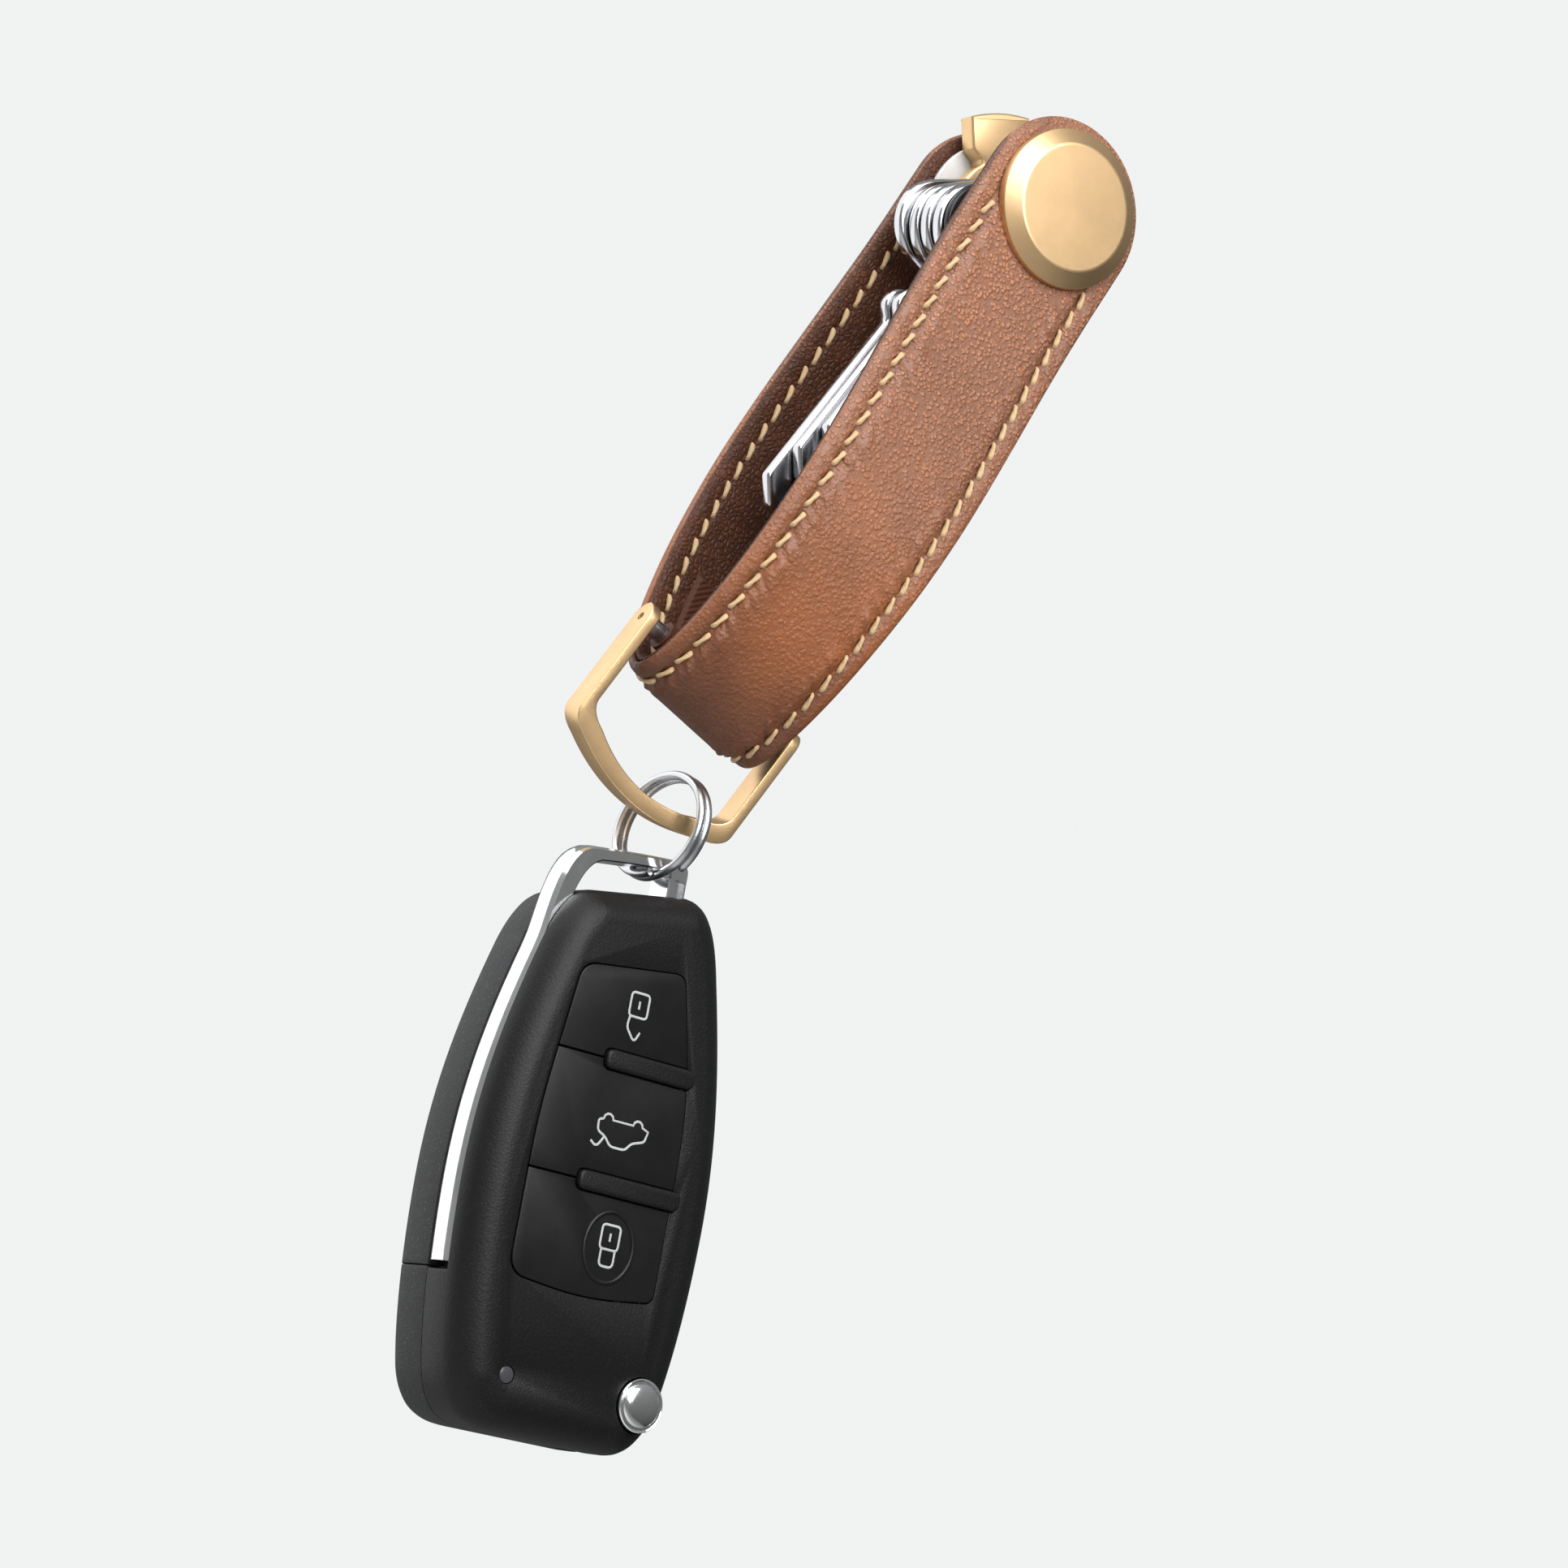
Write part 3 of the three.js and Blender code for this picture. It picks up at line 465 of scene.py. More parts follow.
def lathe(name, profile, segments=128):
    """A profile of (radius, height) turned about Z, from the axis back to the axis."""
    turns = [2 * math.pi * i / segments for i in range(segments)]
    points = [(r * math.cos(a), r * math.sin(a), h) for a in turns for r, h in profile]
    faces = []
    for i in range(segments):
        here, there = i * len(profile), (i + 1) % segments * len(profile)
        for j in range(len(profile) - 1):
            faces.append((here + j, here + j + 1, there + j + 1, there + j))
    return raw(name, points, faces)


def soften(obj, width, steps=2, angle=40):
    """Round every edge sharper than the angle."""
    edited = bmesh.new()
    edited.from_mesh(obj.data)
    sharp = [e for e in edited.edges if len(e.link_faces) == 2 and e.calc_face_angle() > math.radians(angle)]
    bmesh.ops.bevel(edited, geom=sharp, offset=width * MM, segments=steps, profile=0.5,
                    affect="EDGES", clamp_overlap=True)
    edited.to_mesh(obj.data)
    edited.free()
    return obj


def plate(name, outline, y0, y1, rounding=0.0, steps=3):
    """An outline of (x, z) made thick from y0 to y1, with its rims rounded."""
    edited = bmesh.new()
    bottom = [edited.verts.new((x * MM, y0 * MM, z * MM)) for x, z in outline]
    top = [edited.verts.new((x * MM, y1 * MM, z * MM)) for x, z in outline]
    rims = [edited.faces.new(bottom), edited.faces.new(top)]
    count = len(outline)
    for i in range(count):
        j = (i + 1) % count
        edited.faces.new((bottom[i], bottom[j], top[j], top[i]))
    bmesh.ops.recalc_face_normals(edited, faces=edited.faces)
    if rounding:
        edges = [e for face in rims for e in face.edges]
        bmesh.ops.bevel(edited, geom=edges, offset=rounding * MM, segments=steps, profile=0.5,
                        affect="EDGES", clamp_overlap=False)
    mesh = bpy.data.meshes.new(name)
    edited.to_mesh(mesh)
    edited.free()
    return link(bpy.data.objects.new(name, mesh))


def block(low, high):
    (x0, y0, z0), (x1, y1, z1) = low, high
    return plate("block", [(x0, z0), (x1, z0), (x1, z1), (x0, z1)], y0, y1)


def oval(wide, tall, x=0.0, z=0.0, count=96):
    """Points of (x, z) round an oval of the given half sizes."""
    turns = [2 * math.pi * i / count for i in range(count)]
    return [(x + wide * math.cos(a), z + tall * math.sin(a)) for a in turns]


def circle(radius, x=0.0, z=0.0, count=96):
    return oval(radius, radius, x, z, count)


def rod(radius, y0, y1, x=0.0, z=0.0):
    return plate("rod", circle(radius, x, z, 64), y0, y1)


def combine(target, tools, operation="DIFFERENCE"):
    """Cut the tools from the target, or join or overlap them with it, and remove the tools."""
    for tool in tools:
        step = target.modifiers.new("combine", "BOOLEAN")
        step.operation, step.solver, step.object = operation, "EXACT", tool
    made = bpy.data.meshes.new_from_object(target.evaluated_get(bpy.context.evaluated_depsgraph_get()))
    target.modifiers.clear()
    target.data = made
    for tool in tools:
        bpy.data.objects.remove(tool)
    return target


def copy_of(obj):
    made = obj.copy()
    made.data = obj.data.copy()
    return link(made)


def complete(obj, finishes, body, stands_for=(), place=None, sharp=38, keep_axes=False):
    """Give a piece its finish, place and body. finishes may list several, for the faces' indices.
    keep_axes leaves the place on the object, for a finish that follows the piece's own axis."""
    obj.data.materials.clear()
    for name in [finishes] if isinstance(finishes, str) else finishes:
        obj.data.materials.append(finish_for(name))
    obj.data.shade_smooth()
    obj.data.set_sharp_from_angle(angle=math.radians(sharp))
    if place is not None and keep_axes:
        obj.matrix_world = place
    elif place is not None:
        obj.data.transform(place)
    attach(obj, body)
    if stands_for:
        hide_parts(*stands_for)
    return obj


def dress(node, finish):
    """Give a frame node its finish."""
    materials = frame["nodes"][node].data.materials
    materials.clear()
    materials.append(finish_for(finish))


# ---- Outlines ----
def bezier(p0, p1, p2, p3, count=16):
    """Points from p0 up to, but not on, p3."""
    made = []
    for i in range(count):
        t = i / count
        weights = ((1 - t) ** 3, 3 * t * (1 - t) ** 2, 3 * t * t * (1 - t), t ** 3)
        made.append(tuple(sum(w * p[k] for w, p in zip(weights, (p0, p1, p2, p3))) for k in (0, 1)))
    return made


def rounded(corner_list, steps=6):
    """A polygon of (x, z, radius) with its corners rounded."""
    made = []
    count = len(corner_list)
    for i, (x, z, r) in enumerate(corner_list):
        here = Vector((x, z))
        if r <= 0:
            made.append((x, z))
            continue
        ends = []
        for other in (corner_list[i - 1], corner_list[(i + 1) % count]):
            step = Vector(other[:2]) - here
            ends.append(here + step.normalized() * min(r, 0.48 * step.length))
        for k in range(steps + 1):
            t = k / steps
            made.append(tuple(ends[0] * (1 - t) ** 2 + here * 2 * t * (1 - t) + ends[1] * t * t))
    return made


def smoothstep(value, low, high):
    t = min(1.0, max(0.0, (value - low) / (high - low)))
    return t * t * (3 - 2 * t)


def bell(value, centre, width):
    return math.exp(-(((value - centre) / width) ** 2))


# ---- Strap ----
class StrapLine:
    """The strap's outside seen from the side, by the distance from the post's level on the front."""

    def __init__(self):
        half = BODY_HALF
        down = [(half, 0.0)]
        down += bezier((half, -6), (half, -21), (BELLY_HALF, -31), (BELLY_HALF, BELLY_Z), 300)
        down += bezier((BELLY_HALF, BELLY_Z), (BELLY_HALF, -61), (5.9, TIP_Z), (0, TIP_Z), 300)
        down.append((0.0, TIP_Z))
        front = [(MID_Y - h, z) for h, z in down]
        back = [(MID_Y + h, z) for h, z in reversed(down[:-1])]
        self.points = np.array(front + back)
        steps = np.linalg.norm(np.diff(self.points, axis=0), axis=1)
        self.distance = np.concatenate([[0], np.cumsum(steps)])
        self.length = float(self.distance[-1])
        along = np.gradient(self.points, self.distance, axis=0)
        along /= np.linalg.norm(along, axis=1)[:, None]
        self.inward = np.stack([-along[:, 1], along[:, 0]], axis=1)
        side = np.array(bezier((HALF_WIDTH, 0), (HALF_WIDTH, -52), (TIP_HALF_WIDTH, -60),
                               (TIP_HALF_WIDTH, TIP_Z - 2), 200))
        self.side_z, self.side_x = side[::-1, 1], side[::-1, 0]

    def half_width(self, z):
        return float(np.interp(z, self.side_z, self.side_x))

    def at(self, s):
        """(y, z) on the outside, and the inward direction there."""
        y, z = (np.interp(s, self.distance, self.points[:, k]) for k in (0, 1))
        ny, nz = (np.interp(s, self.distance, self.inward[:, k]) for k in (0, 1))
        size = math.hypot(ny, nz)
        return float(y), float(z), float(ny / size), float(nz / size)

    def place(self, side, across, depth, s):
        """A point of the strap: across from the middle, depth below the outside, at distance s.
        Before 0 and past the length the strap turns round the post as a half disc."""
        if 0 <= s <= self.length:
            y, z, ny, nz = self.at(s)
            return side * across * self.half_width(z) / HALF_WIDTH, y + ny * depth, z + nz * depth
        turn = (-s if s < 0 else s - self.length) / HALF_WIDTH
        y = MID_Y - BODY_HALF + depth if s < 0 else MID_Y + BODY_HALF - depth
        return side * across * math.cos(turn), y, across * math.sin(turn)

    def rows(self, step):
        """Distances of the rows of a layer, round both disc ends."""
        turn_rows = 22
        quarter = HALF_WIDTH * math.pi / 2
        count = round(self.length / step)
        body = [self.length * i / count for i in range(count + 1)]
        turn = [quarter * (i + 1) / turn_rows for i in range(turn_rows)]
        return [-t for t in reversed(turn)] + body + [self.length + t for t in turn]


LINE = StrapLine()


def stitch_fade(s):
    """How much of the sewn relief there is: none under the discs."""
    return smoothstep(s, 2.5, 8) * smoothstep(LINE.length - s, 2.5, 8)


def stitch_phase(s, pitch):
    return 2 * math.pi * (s - STITCH_START) / pitch


def outer_relief(across, s, side, settings):
    """Height above the outside: a rolled rim, the sewn groove with its puckers, and the padded panel."""
    edge = HALF_WIDTH - across
    pitch = settings.stitch_pitch / MM
    sewn = stitch_fade(s)
    rim = -0.62 * (1 - math.sqrt(max(0.0, 1 - max(0.0, (1.25 - edge) / 1.25) ** 2)))
    pull = 0.34 - 0.15 * math.cos(stitch_phase(s, pitch))
    groove = -pull * bell(edge, STITCH_EDGE, 0.5) * (0.25 + 0.75 * sewn)
    panel = settings.padding / MM * smoothstep(edge, STITCH_EDGE, STITCH_EDGE + 1.9) * sewn
    slant = s + side * 0.6 * edge
    crease = noise.noise(Vector((slant * 1.35, side * 9.0, edge * 0.30)))
    crease += 0.5 * noise.noise(Vector((slant * 0.6, side * 4.0, edge * 0.25)))
    pucker = 0.42 * crease * (bell(edge, STITCH_EDGE + 1.2, 1.3) + 0.35 * bell(edge, 1.6, 0.6)) * sewn
    soft = noise.noise(Vector((s * 0.11, side * across * 0.12, 3.0)))
    return rim + groove + panel + pucker + 0.07 * soft * sewn


def lining_relief(across, s, side, settings):
    edge = HALF_WIDTH - across
    pull = 0.26 - 0.12 * math.cos(stitch_phase(s, settings.stitch_pitch / MM))
    groove = -pull * bell(edge, STITCH_EDGE, 0.45) * stitch_fade(s)
    rim = -0.3 * (1 - smoothstep(edge, 0.1, 1.0))
    crease = noise.noise(Vector((s * 0.9, side * 5.0, edge * 0.4)))
    return groove + rim + 0.10 * crease * bell(edge, STITCH_EDGE + 0.7, 1.1) * stitch_fade(s)


def spread(*spans):
    """Numbers along spans of (start, end, count), each without its end, then the last end."""
    made = [a + (b - a) * i / n for a, b, n in spans for i in range(n)]
    return made + [spans[-1][1]]


def strap_layer(name, section, step):
    """A closed layer of the strap. section is points (across, depth, relief) from the outside's middle,
    round the edge, to the inside's middle; relief gives the height that is taken off the depth."""
    rows = LINE.rows(step)
    points, faces = [], []
    for side in (-1, 1):
        first = len(points)
        for s in rows:
            for across, depth, relief in section:
                height = relief(across, s, side) if relief else 0.0
                points.append(LINE.place(side, across, depth + height, s))
        width = len(section)
        for i in range(len(rows) - 1):
            for j in range(width - 1):
                a = first + i * width + j
                faces.append((a, a + 1, a + width + 1, a + width))
    return raw(name, points, faces)


class KEYORG_OT_strap(bpy.types.Operator):
    """Sew the folded strap: outer leather, lining and the ribbed patch in the bend"""

    bl_idname = "key_organiser.strap"
    bl_label = "Folded strap"

    def execute(self, context):
        settings = context.scene.ko_strap

        def raised(across, s, side):
            return -outer_relief(across, s, side, settings)

        def lined(across, s, side):
            return lining_relief(across, s, side, settings)

        columns = spread((0, 5.2, 11), (5.2, 9.4, 22), (9.4, 11, 9))
        section = [(c, 0.0, raised) for c in columns]
        section += [(11.04, 0.78, None), (10.98, 0.95, None), (10.8, 1.1, None), (10.5, OUTER_DEPTH, None)]
        section += [(c, OUTER_DEPTH, None) for c in (8, 4, 0)]
        outer = strap_layer("outer_leather_strap", section, 0.36)
        combine(outer, [rod(POST_HOLE, -5, BACK_Y + 5)])
        complete(outer, "leather", "strap", ["outer_leather"], sharp=75)

        section = [(c, LINING_TOP, None) for c in (0, 4, 8, 10.3)]
        section += [(10.62, 1.36, None), (10.78, 1.52, None), (10.8, 1.7, None)]
        columns = spread((10.72, 9.2, 7), (9.2, 6.6, 12), (6.6, 0, 8))
        section += [(c, LINING_BOTTOM, lined) for c in columns]
        lining = strap_layer("lining_leather_strap", section, 0.5)
        combine(lining, [rod(POST_HOLE, -5, BACK_Y + 5)])
        complete(lining, "lining", "strap", ["lining_leather"], sharp=75)
        self.patch(context)
        return {"FINISHED"}

    def patch(self, context):
        """A herringbone patch of raised ribs inside the bend."""
        half, rib, column = 6.2, 0.95, 3.1
        thick, low, tall = 0.42, LINING_BOTTOM + 0.06, 0.16
        start = next(s for s in np.arange(30, LINE.length, 0.1) if LINE.at(s)[1] < -58.5)
        rows = np.arange(start, LINE.length - start, 0.14)
        columns = np.linspace(-half, half, 63)
        rings = []
        for s in rows:
            end = min(s - start, LINE.length - start - s)
            top = []
            for x in columns:
                zigzag = abs((x / column) % 2 - 1) * column
                wave = 0.5 + 0.5 * math.cos(2 * math.pi * (s + zigzag) / rib)
                hem = smoothstep(min(end, half - abs(x)), 0, 0.5)
                depth = low + (thick + tall * wave) * hem
                top.append(LINE.place(1, x, depth, s))
            rings.append(top + [LINE.place(1, x, low, s) for x in reversed(columns)])
        patch = loft("ribbed_grip_patch", rings)
        complete(patch, "ribbed", "strap", ["ribbed_grip"], sharp=80)


class KEYORG_OT_stitching(bpy.types.Operator):
    """Sew the two stitch lines, seen outside and inside the strap"""

    bl_idname = "key_organiser.stitching"
    bl_label = "Stitching"

    def execute(self, context):
        settings = context.scene.ko_strap
        for name, side in (("left", -1), ("right", 1)):
            outside = self.seam(f"stitching_{name}_outside", side, settings, -0.02, -1)
            complete(outside, "thread", "strap", [f"stitching_{name}"], sharp=80)
            inside = self.seam(f"stitching_{name}_inside", side, settings, LINING_BOTTOM, 1)
            complete(inside, "thread", "strap", sharp=80)
        return {"FINISHED"}

    def seam(self, name, side, settings, level, outward):
        pitch, radius = settings.stitch_pitch / MM, settings.thread / MM / 2
        count = int((LINE.length - 2 * STITCH_START) / pitch)
        points, faces = [], []
        for i in range(count):
            start = STITCH_START + i * pitch
            self.stitch(points, faces, side, start, pitch, radius, level, outward)
        return raw(name, points, faces)

    def stitch(self, points, faces, side, start, pitch, radius, level, outward):
        """One two-ply stitch: it dives into the leather at both ends and leans across the seam."""
        rings, around, gap, lean = 10, 10, 0.34, 0.30
        first = len(points)
        for i in range(rings + 1):
            t = i / rings
            s = start + gap / 2 + (pitch - gap) * t
            sink = 0.46 * (2 * t - 1) ** 6
            across = HALF_WIDTH - STITCH_EDGE + lean * (2 * t - 1)
            depth = level + outward * (0.02 - sink)
            end = math.sqrt(max(0.02, 1 - (2 * t - 1) ** 6))
            for j in range(around):
                a = 2 * math.pi * j / around
                ply = 1 + 0.16 * math.cos(2 * a - 7.5 * t)
                r = radius * ply * end
                points.append(LINE.place(side, across + r * math.cos(a), depth + r * math.sin(a), s))
        for i in range(rings):
            for j in range(around):
                a, b = first + i * around + j, first + i * around + (j + 1) % around
                faces.append((a, b, b + around, a + around))
        faces.append(tuple(range(first, first + around)))
        faces.append(tuple(range(first + rings * around, first + (rings + 1) * around)))


# ---- Discs, keys and tab on the post ----
FACE_RADIUS = 7.65
DISC_RADIUS = 9.4
SLOT_HALF = 0.9


def disc_cap():
    """Profile from the face's middle to the underside, with height measured down from the face."""
    return [
        (0, 0), (FACE_RADIUS - 0.45, 0), (FACE_RADIUS - 0.12, -0.015), (FACE_RADIUS, -0.09),
        (DISC_RADIUS - 0.2, -1.02), (DISC_RADIUS - 0.05, -1.13), (DISC_RADIUS, -1.28),
        (DISC_RADIUS, -2.2), (DISC_RADIUS - 0.12, 0.05 - DISC_HEIGHT),
    ]


def spin_face(obj):
    """Faces on the flat front take the second finish."""
    for face in obj.data.polygons:
        centre = face.center
        face.material_index = int(centre.z > -0.03 * MM and math.hypot(centre.x, centre.y) < FACE_RADIUS * MM)


class KEYORG_OT_discs(bpy.types.Operator):
    """Turn the front disc with its barrel and the back disc with its screw and coin slot"""

    bl_idname = "key_organiser.discs"
    bl_label = "Front and back discs"

    def execute(self, context):
        under = 0.05 - DISC_HEIGHT
        barrel_end = -(BACK_Y - DISC_HEIGHT - 0.4)
        profile = disc_cap() + [(3, under), (3, barrel_end), (1.6, barrel_end), (1.6, -7.5), (0, -7.5)]
        front = lathe("front_disc_turned", profile)
        spin_face(front)
        place = turned(90, "X")
        complete(front, ["gold", "spun_gold"], "strap", ["front_disc"], place, 30, True)

        profile = disc_cap() + [(1.5, under), (1.5, 8 - BACK_Y), (0, 8 - BACK_Y)]
        back = lathe("back_disc_turned", profile)
        slot = lathe("slot", [(0, 1), (5.5, 1), (5.5, -0.9), (0, -0.9)], 64)
        sides = [block((-8, y0, -2), (8, y1, 2)) for y0, y1 in ((SLOT_HALF, 9), (-9, -SLOT_HALF))]
        combine(slot, sides)
        combine(back, [slot])
        soften(back, 0.06, 2, 60)
        spin_face(back)
        place = moved(0, BACK_Y, 0) @ turned(-90, "X")
        complete(back, ["gold", "spun_gold"], "back_disc", ["back_disc"], place, 30, True)
        return {"FINISHED"}


KEY_FORMS = {
    1: {"lean": 4.2, "lobe": 5.6, "tip": -46, "shoulder": 5.7, "blade": 4.3, "cuts": 5},
    2: {"lean": 4.6, "lobe": 5.9, "tip": -41.5, "shoulder": 6, "blade": 4.4, "cuts": 4},
    3: {"lean": 4.8, "lobe": 6.1, "tip": -45, "shoulder": 6.2, "blade": 4.6, "cuts": 6},
    4: {"lean": 4.5, "lobe": 7.1, "tip": -49.2, "shoulder": 6.6, "blade": 4.9, "cuts": 0},
}
HEAD_RADIUS, HEAD_Z, HOLE_RADIUS, NECK_Z = 5.5, -8.4, 4.9, -15
KEY_GAP = 0.2
GROOVES = (-1.4, 1.5)
GROOVE_HALF = 0.55


def key_head(lobe, trim=0.0):
    """Outline of the three-lobed head, from the left of the neck round the top to the right."""
    cloud = []
    for x, z, r in ((0, 0, HOLE_RADIUS), (-lobe, HEAD_Z, HEAD_RADIUS), (lobe, HEAD_Z, HEAD_RADIUS)):
        cloud += circle(r - trim, x, z)
    hull = [cloud[i] for i in geometry.convex_hull_2d([Vector(p) for p in cloud])]
    if sum(a[0] * b[1] - b[0] * a[1] for a, b in zip(hull, hull[1:] + hull[:1])) > 0:
        hull.reverse()
    bottom = HEAD_Z - HEAD_RADIUS + trim
    start = min(range(len(hull)), key=lambda i: (abs(hull[i][1] - bottom) > 1e-4, hull[i][0]))
    return hull[start:] + hull[:start]


def key_blade(form):
    """Outline from the right of the neck down one side with its cuts, and up the other."""
    blade, shoulder, tip, cuts = form["blade"], form["shoulder"], form["tip"], form["cuts"]
    made = [(3.4, NECK_Z - 0.6, 1), (shoulder, -18.2, 1.2), (shoulder, -20.4, 1), (blade, -21.8, 0.5)]
    pitch = (tip + 8 + 24) / max(cuts, 1)
    for i in range(cuts):
        z = -24 + pitch * (i + 0.5)
        depth = 1 + 0.7 * abs(math.sin(2.4 * i + form["lobe"]))
        made += [(blade, z - pitch * 0.42, 0), (blade - depth, z, 0.3), (blade, z + pitch * 0.42, 0)]
    made += [(blade - 0.2, tip + 3.2, 0.4), (blade - 3.4, tip, 0.4), (2.6 - blade, tip, 0.4),
             (-blade, tip + 2.6, 0.4), (-blade, -21.8, 0.5), (-shoulder, -20.4, 1),
             (-shoulder, -18.2, 1.2), (-3.4, NECK_Z - 0.6, 1)]
    return rounded([(3.4, -13.5, 0)] + made + [(-3.4, -13.5, 0)], 4)[1:-1]


def key_outline(form):
    neck_top = HEAD_Z - HEAD_RADIUS
    return [*key_head(form["lobe"]), (3.4, neck_top), *key_blade(form), (-3.4, neck_top)]


class KEYORG_OT_keys(bpy.types.Operator):
    """Cut the four keys, with rounded rims and milled grooves, and the black cap on the first head"""

    bl_idname = "key_organiser.keys"
    bl_label = "Keys"

    def execute(self, context):
        rounding = context.scene.ko_hardware.rounding / MM
        for number, form in KEY_FORMS.items():
            node = f"key_{number}"
            low, high = corners(node)
            y0, y1 = low.y + KEY_GAP, high.y - KEY_GAP
            key = plate(f"{node}_blank", key_outline(form), y0, y1, rounding, 4)
            tools = [rod(POST_HOLE, y0 - 1, y1 + 1)]
            for x in GROOVES:
                low_end = (x - GROOVE_HALF, y0 - 1, form["tip"] + 1.6)
                tools.append(block(low_end, (x + GROOVE_HALF, y0 + 0.55, -22.5)))
            tools.append(block((-6.5, y0 - 0.3, -12.6), (6.5, y0 + 0.28, -9.5)))
            combine(key, tools)
            place = turned(form["lean"], "Y")
            complete(key, "nickel", node, [node], place, 32)
        low, high = corners("key_1_cap")
        cap = plate("key_1_cap_moulded", key_head(KEY_FORMS[1]["lobe"], 0.35), low.y, high.y, 0.35, 4)
        combine(cap, [rod(POST_HOLE, low.y - 1, high.y + 1)])
        place = turned(KEY_FORMS[1]["lean"], "Y")
        complete(cap, "cap", "key_1", ["key_1_cap"], place, 32)
        return {"FINISHED"}


class KEYORG_OT_tab(bpy.types.Operator):
    """Make the gold pull tab on its hub and the nylon washer behind it"""

    bl_idname = "key_organiser.pull_tab"
    bl_label = "Pull tab and washer"

    def execute(self, context):
        low, high = corners("pull_tab")
        y0, y1 = low.y, high.y
        crown = [(4.2 * math.sin(a), 12.3 + 0.5 * math.cos(a) ** 2) for a in
                 [math.radians(90 * (i / 8 - 1)) for i in range(17)]]
        outline = [(-3.0, 5.6), (-3.0, 7.2), (-4.2, 8.5)] + crown + [(4.2, 8.5), (3.0, 7.2), (3.0, 5.6)]
        tab = plate("pull_tab_milled", outline, y0, y1, 0.35, 4)
        hub = plate("hub", circle(7.3), y0, y1 - 0.7, 0.3, 3)
        combine(tab, [hub], "UNION")
        combine(tab, [rod(POST_HOLE, y0 - 1, y1 + 1)])
        place = turned(-40, "Y")
        complete(tab, "gold", "pull_tab", ["pull_tab"], place, 32)

        low, high = corners("rear_washer")
        y0, y1 = low.y, high.y
        washer = plate("rear_washer_moulded", circle(high.x), y0, y1, 0.2, 3)
        combine(washer, [rod(POST_HOLE, y0 - 1, y1 + 1)])
        complete(washer, "nylon", "strap", ["rear_washer"], sharp=32)
        return {"FINISHED"}


# ---- D-ring and split ring ----
D_RING = {"half": 12.35, "arm": 1.35, "bow": 1.9, "depth": 3.9, "shoulder": -12.4, "corner": -14,
          "bottom": -17.1, "pin_z": -70, "swing": 9, "tip_hole": 0.5}


def d_line(half, low, drop):
    """Half of the D, from the pin's level at the right arm down to the middle of the bow."""
    shoulder, corner = D_RING["shoulder"] + drop, D_RING["corner"] + drop
    arm = [(half, z) for z in spread((0, shoulder, 14))]
    turn = [(half - 2.6 * t * t, shoulder * (1 - t) ** 2 + 2 * corner * t * (1 - t) + (corner - 0.9) * t * t)
            for t in spread((0.1, 1, 9))]
    middle = 2 * low - (corner - 0.9)
    bow = []
    for t in spread((0.03, 0.5, 16)):
        x = (half - 2.6) * (1 - 2 * t)
        z = (corner - 0.9) * ((1 - t) ** 2 + t * t) + 2 * middle * t * (1 - t)
        bow.append((x, z))
    return arm + turn + bow


class KEYORG_OT_d_ring(bpy.types.Operator):
    """Bend the D-ring and set it on the bar in the strap's bend"""

    bl_idname = "key_organiser.d_ring"
    bl_label = "D-ring"

    def execute(self, context):
        rounding = 0.2
        half, arm, bow, lug = D_RING["half"], D_RING["arm"], D_RING["bow"], D_RING["depth"] / 2
        outer = d_line(half, D_RING["bottom"], 0)
        inner = d_line(half - arm, D_RING["bottom"] + bow, bow)
        head = [lug * math.sin(math.radians(a)) for a in (83, 70, 55, 40, 25, 12)]
        outer = [(half, z) for z in head] + outer
        inner = [(half - arm, z) for z in head] + inner
        pairs = list(zip(outer, inner))
        pairs += [((-o[0], o[1]), (-i[0], i[1])) for o, i in reversed(pairs[:-1])]
        rings = []
        for (ox, oz), (ix, iz) in pairs:
            depth = math.sqrt(lug * lug - oz * oz) if oz > 0 else lug
            across = Vector((ox - ix, oz - iz))
            centre = Vector((ox + ix, oz + iz)) / 2
            out, thick = across.normalized(), across.length / 2
            r = min(rounding, thick * 0.6, depth * 0.6)
            ring = []
            for a0, su, sy in ((0, 1, 1), (90, -1, 1), (180, -1, -1), (270, 1, -1)):
                for k in range(5):
                    a = math.radians(a0 + 22.5 * k)
                    u = su * (thick - r) + r * math.cos(a)
                    y = sy * (depth - r) + r * math.sin(a)
                    ring.append((centre.x + out.x * u, y, centre.y + out.y * u))
            rings.append(ring)
        ring = loft("d_ring_bent", rings)
        hole = [[(x, y, z) for y, z in circle(D_RING["tip_hole"], count=32)] for x in (-14, 14)]
        combine(ring, [loft("hole", hole)])
        place = moved(0, MID_Y, D_RING["pin_z"]) @ turned(D_RING["swing"], "X")
        complete(ring, "gold", "d_ring", ["d_ring"], place, 34)
        dress("spring_bar", "steel")
        dress("bar_sleeve", "ribbed")
        return {"FINISHED"}


RING = {"x": 5.35, "y": 13.7, "z": -86.3, "radius": 6.15, "wire": 0.5, "pitch": 1.06, "turns": 1.93,
        "start": 250, "spin": -12.9, "roll": 11.9}


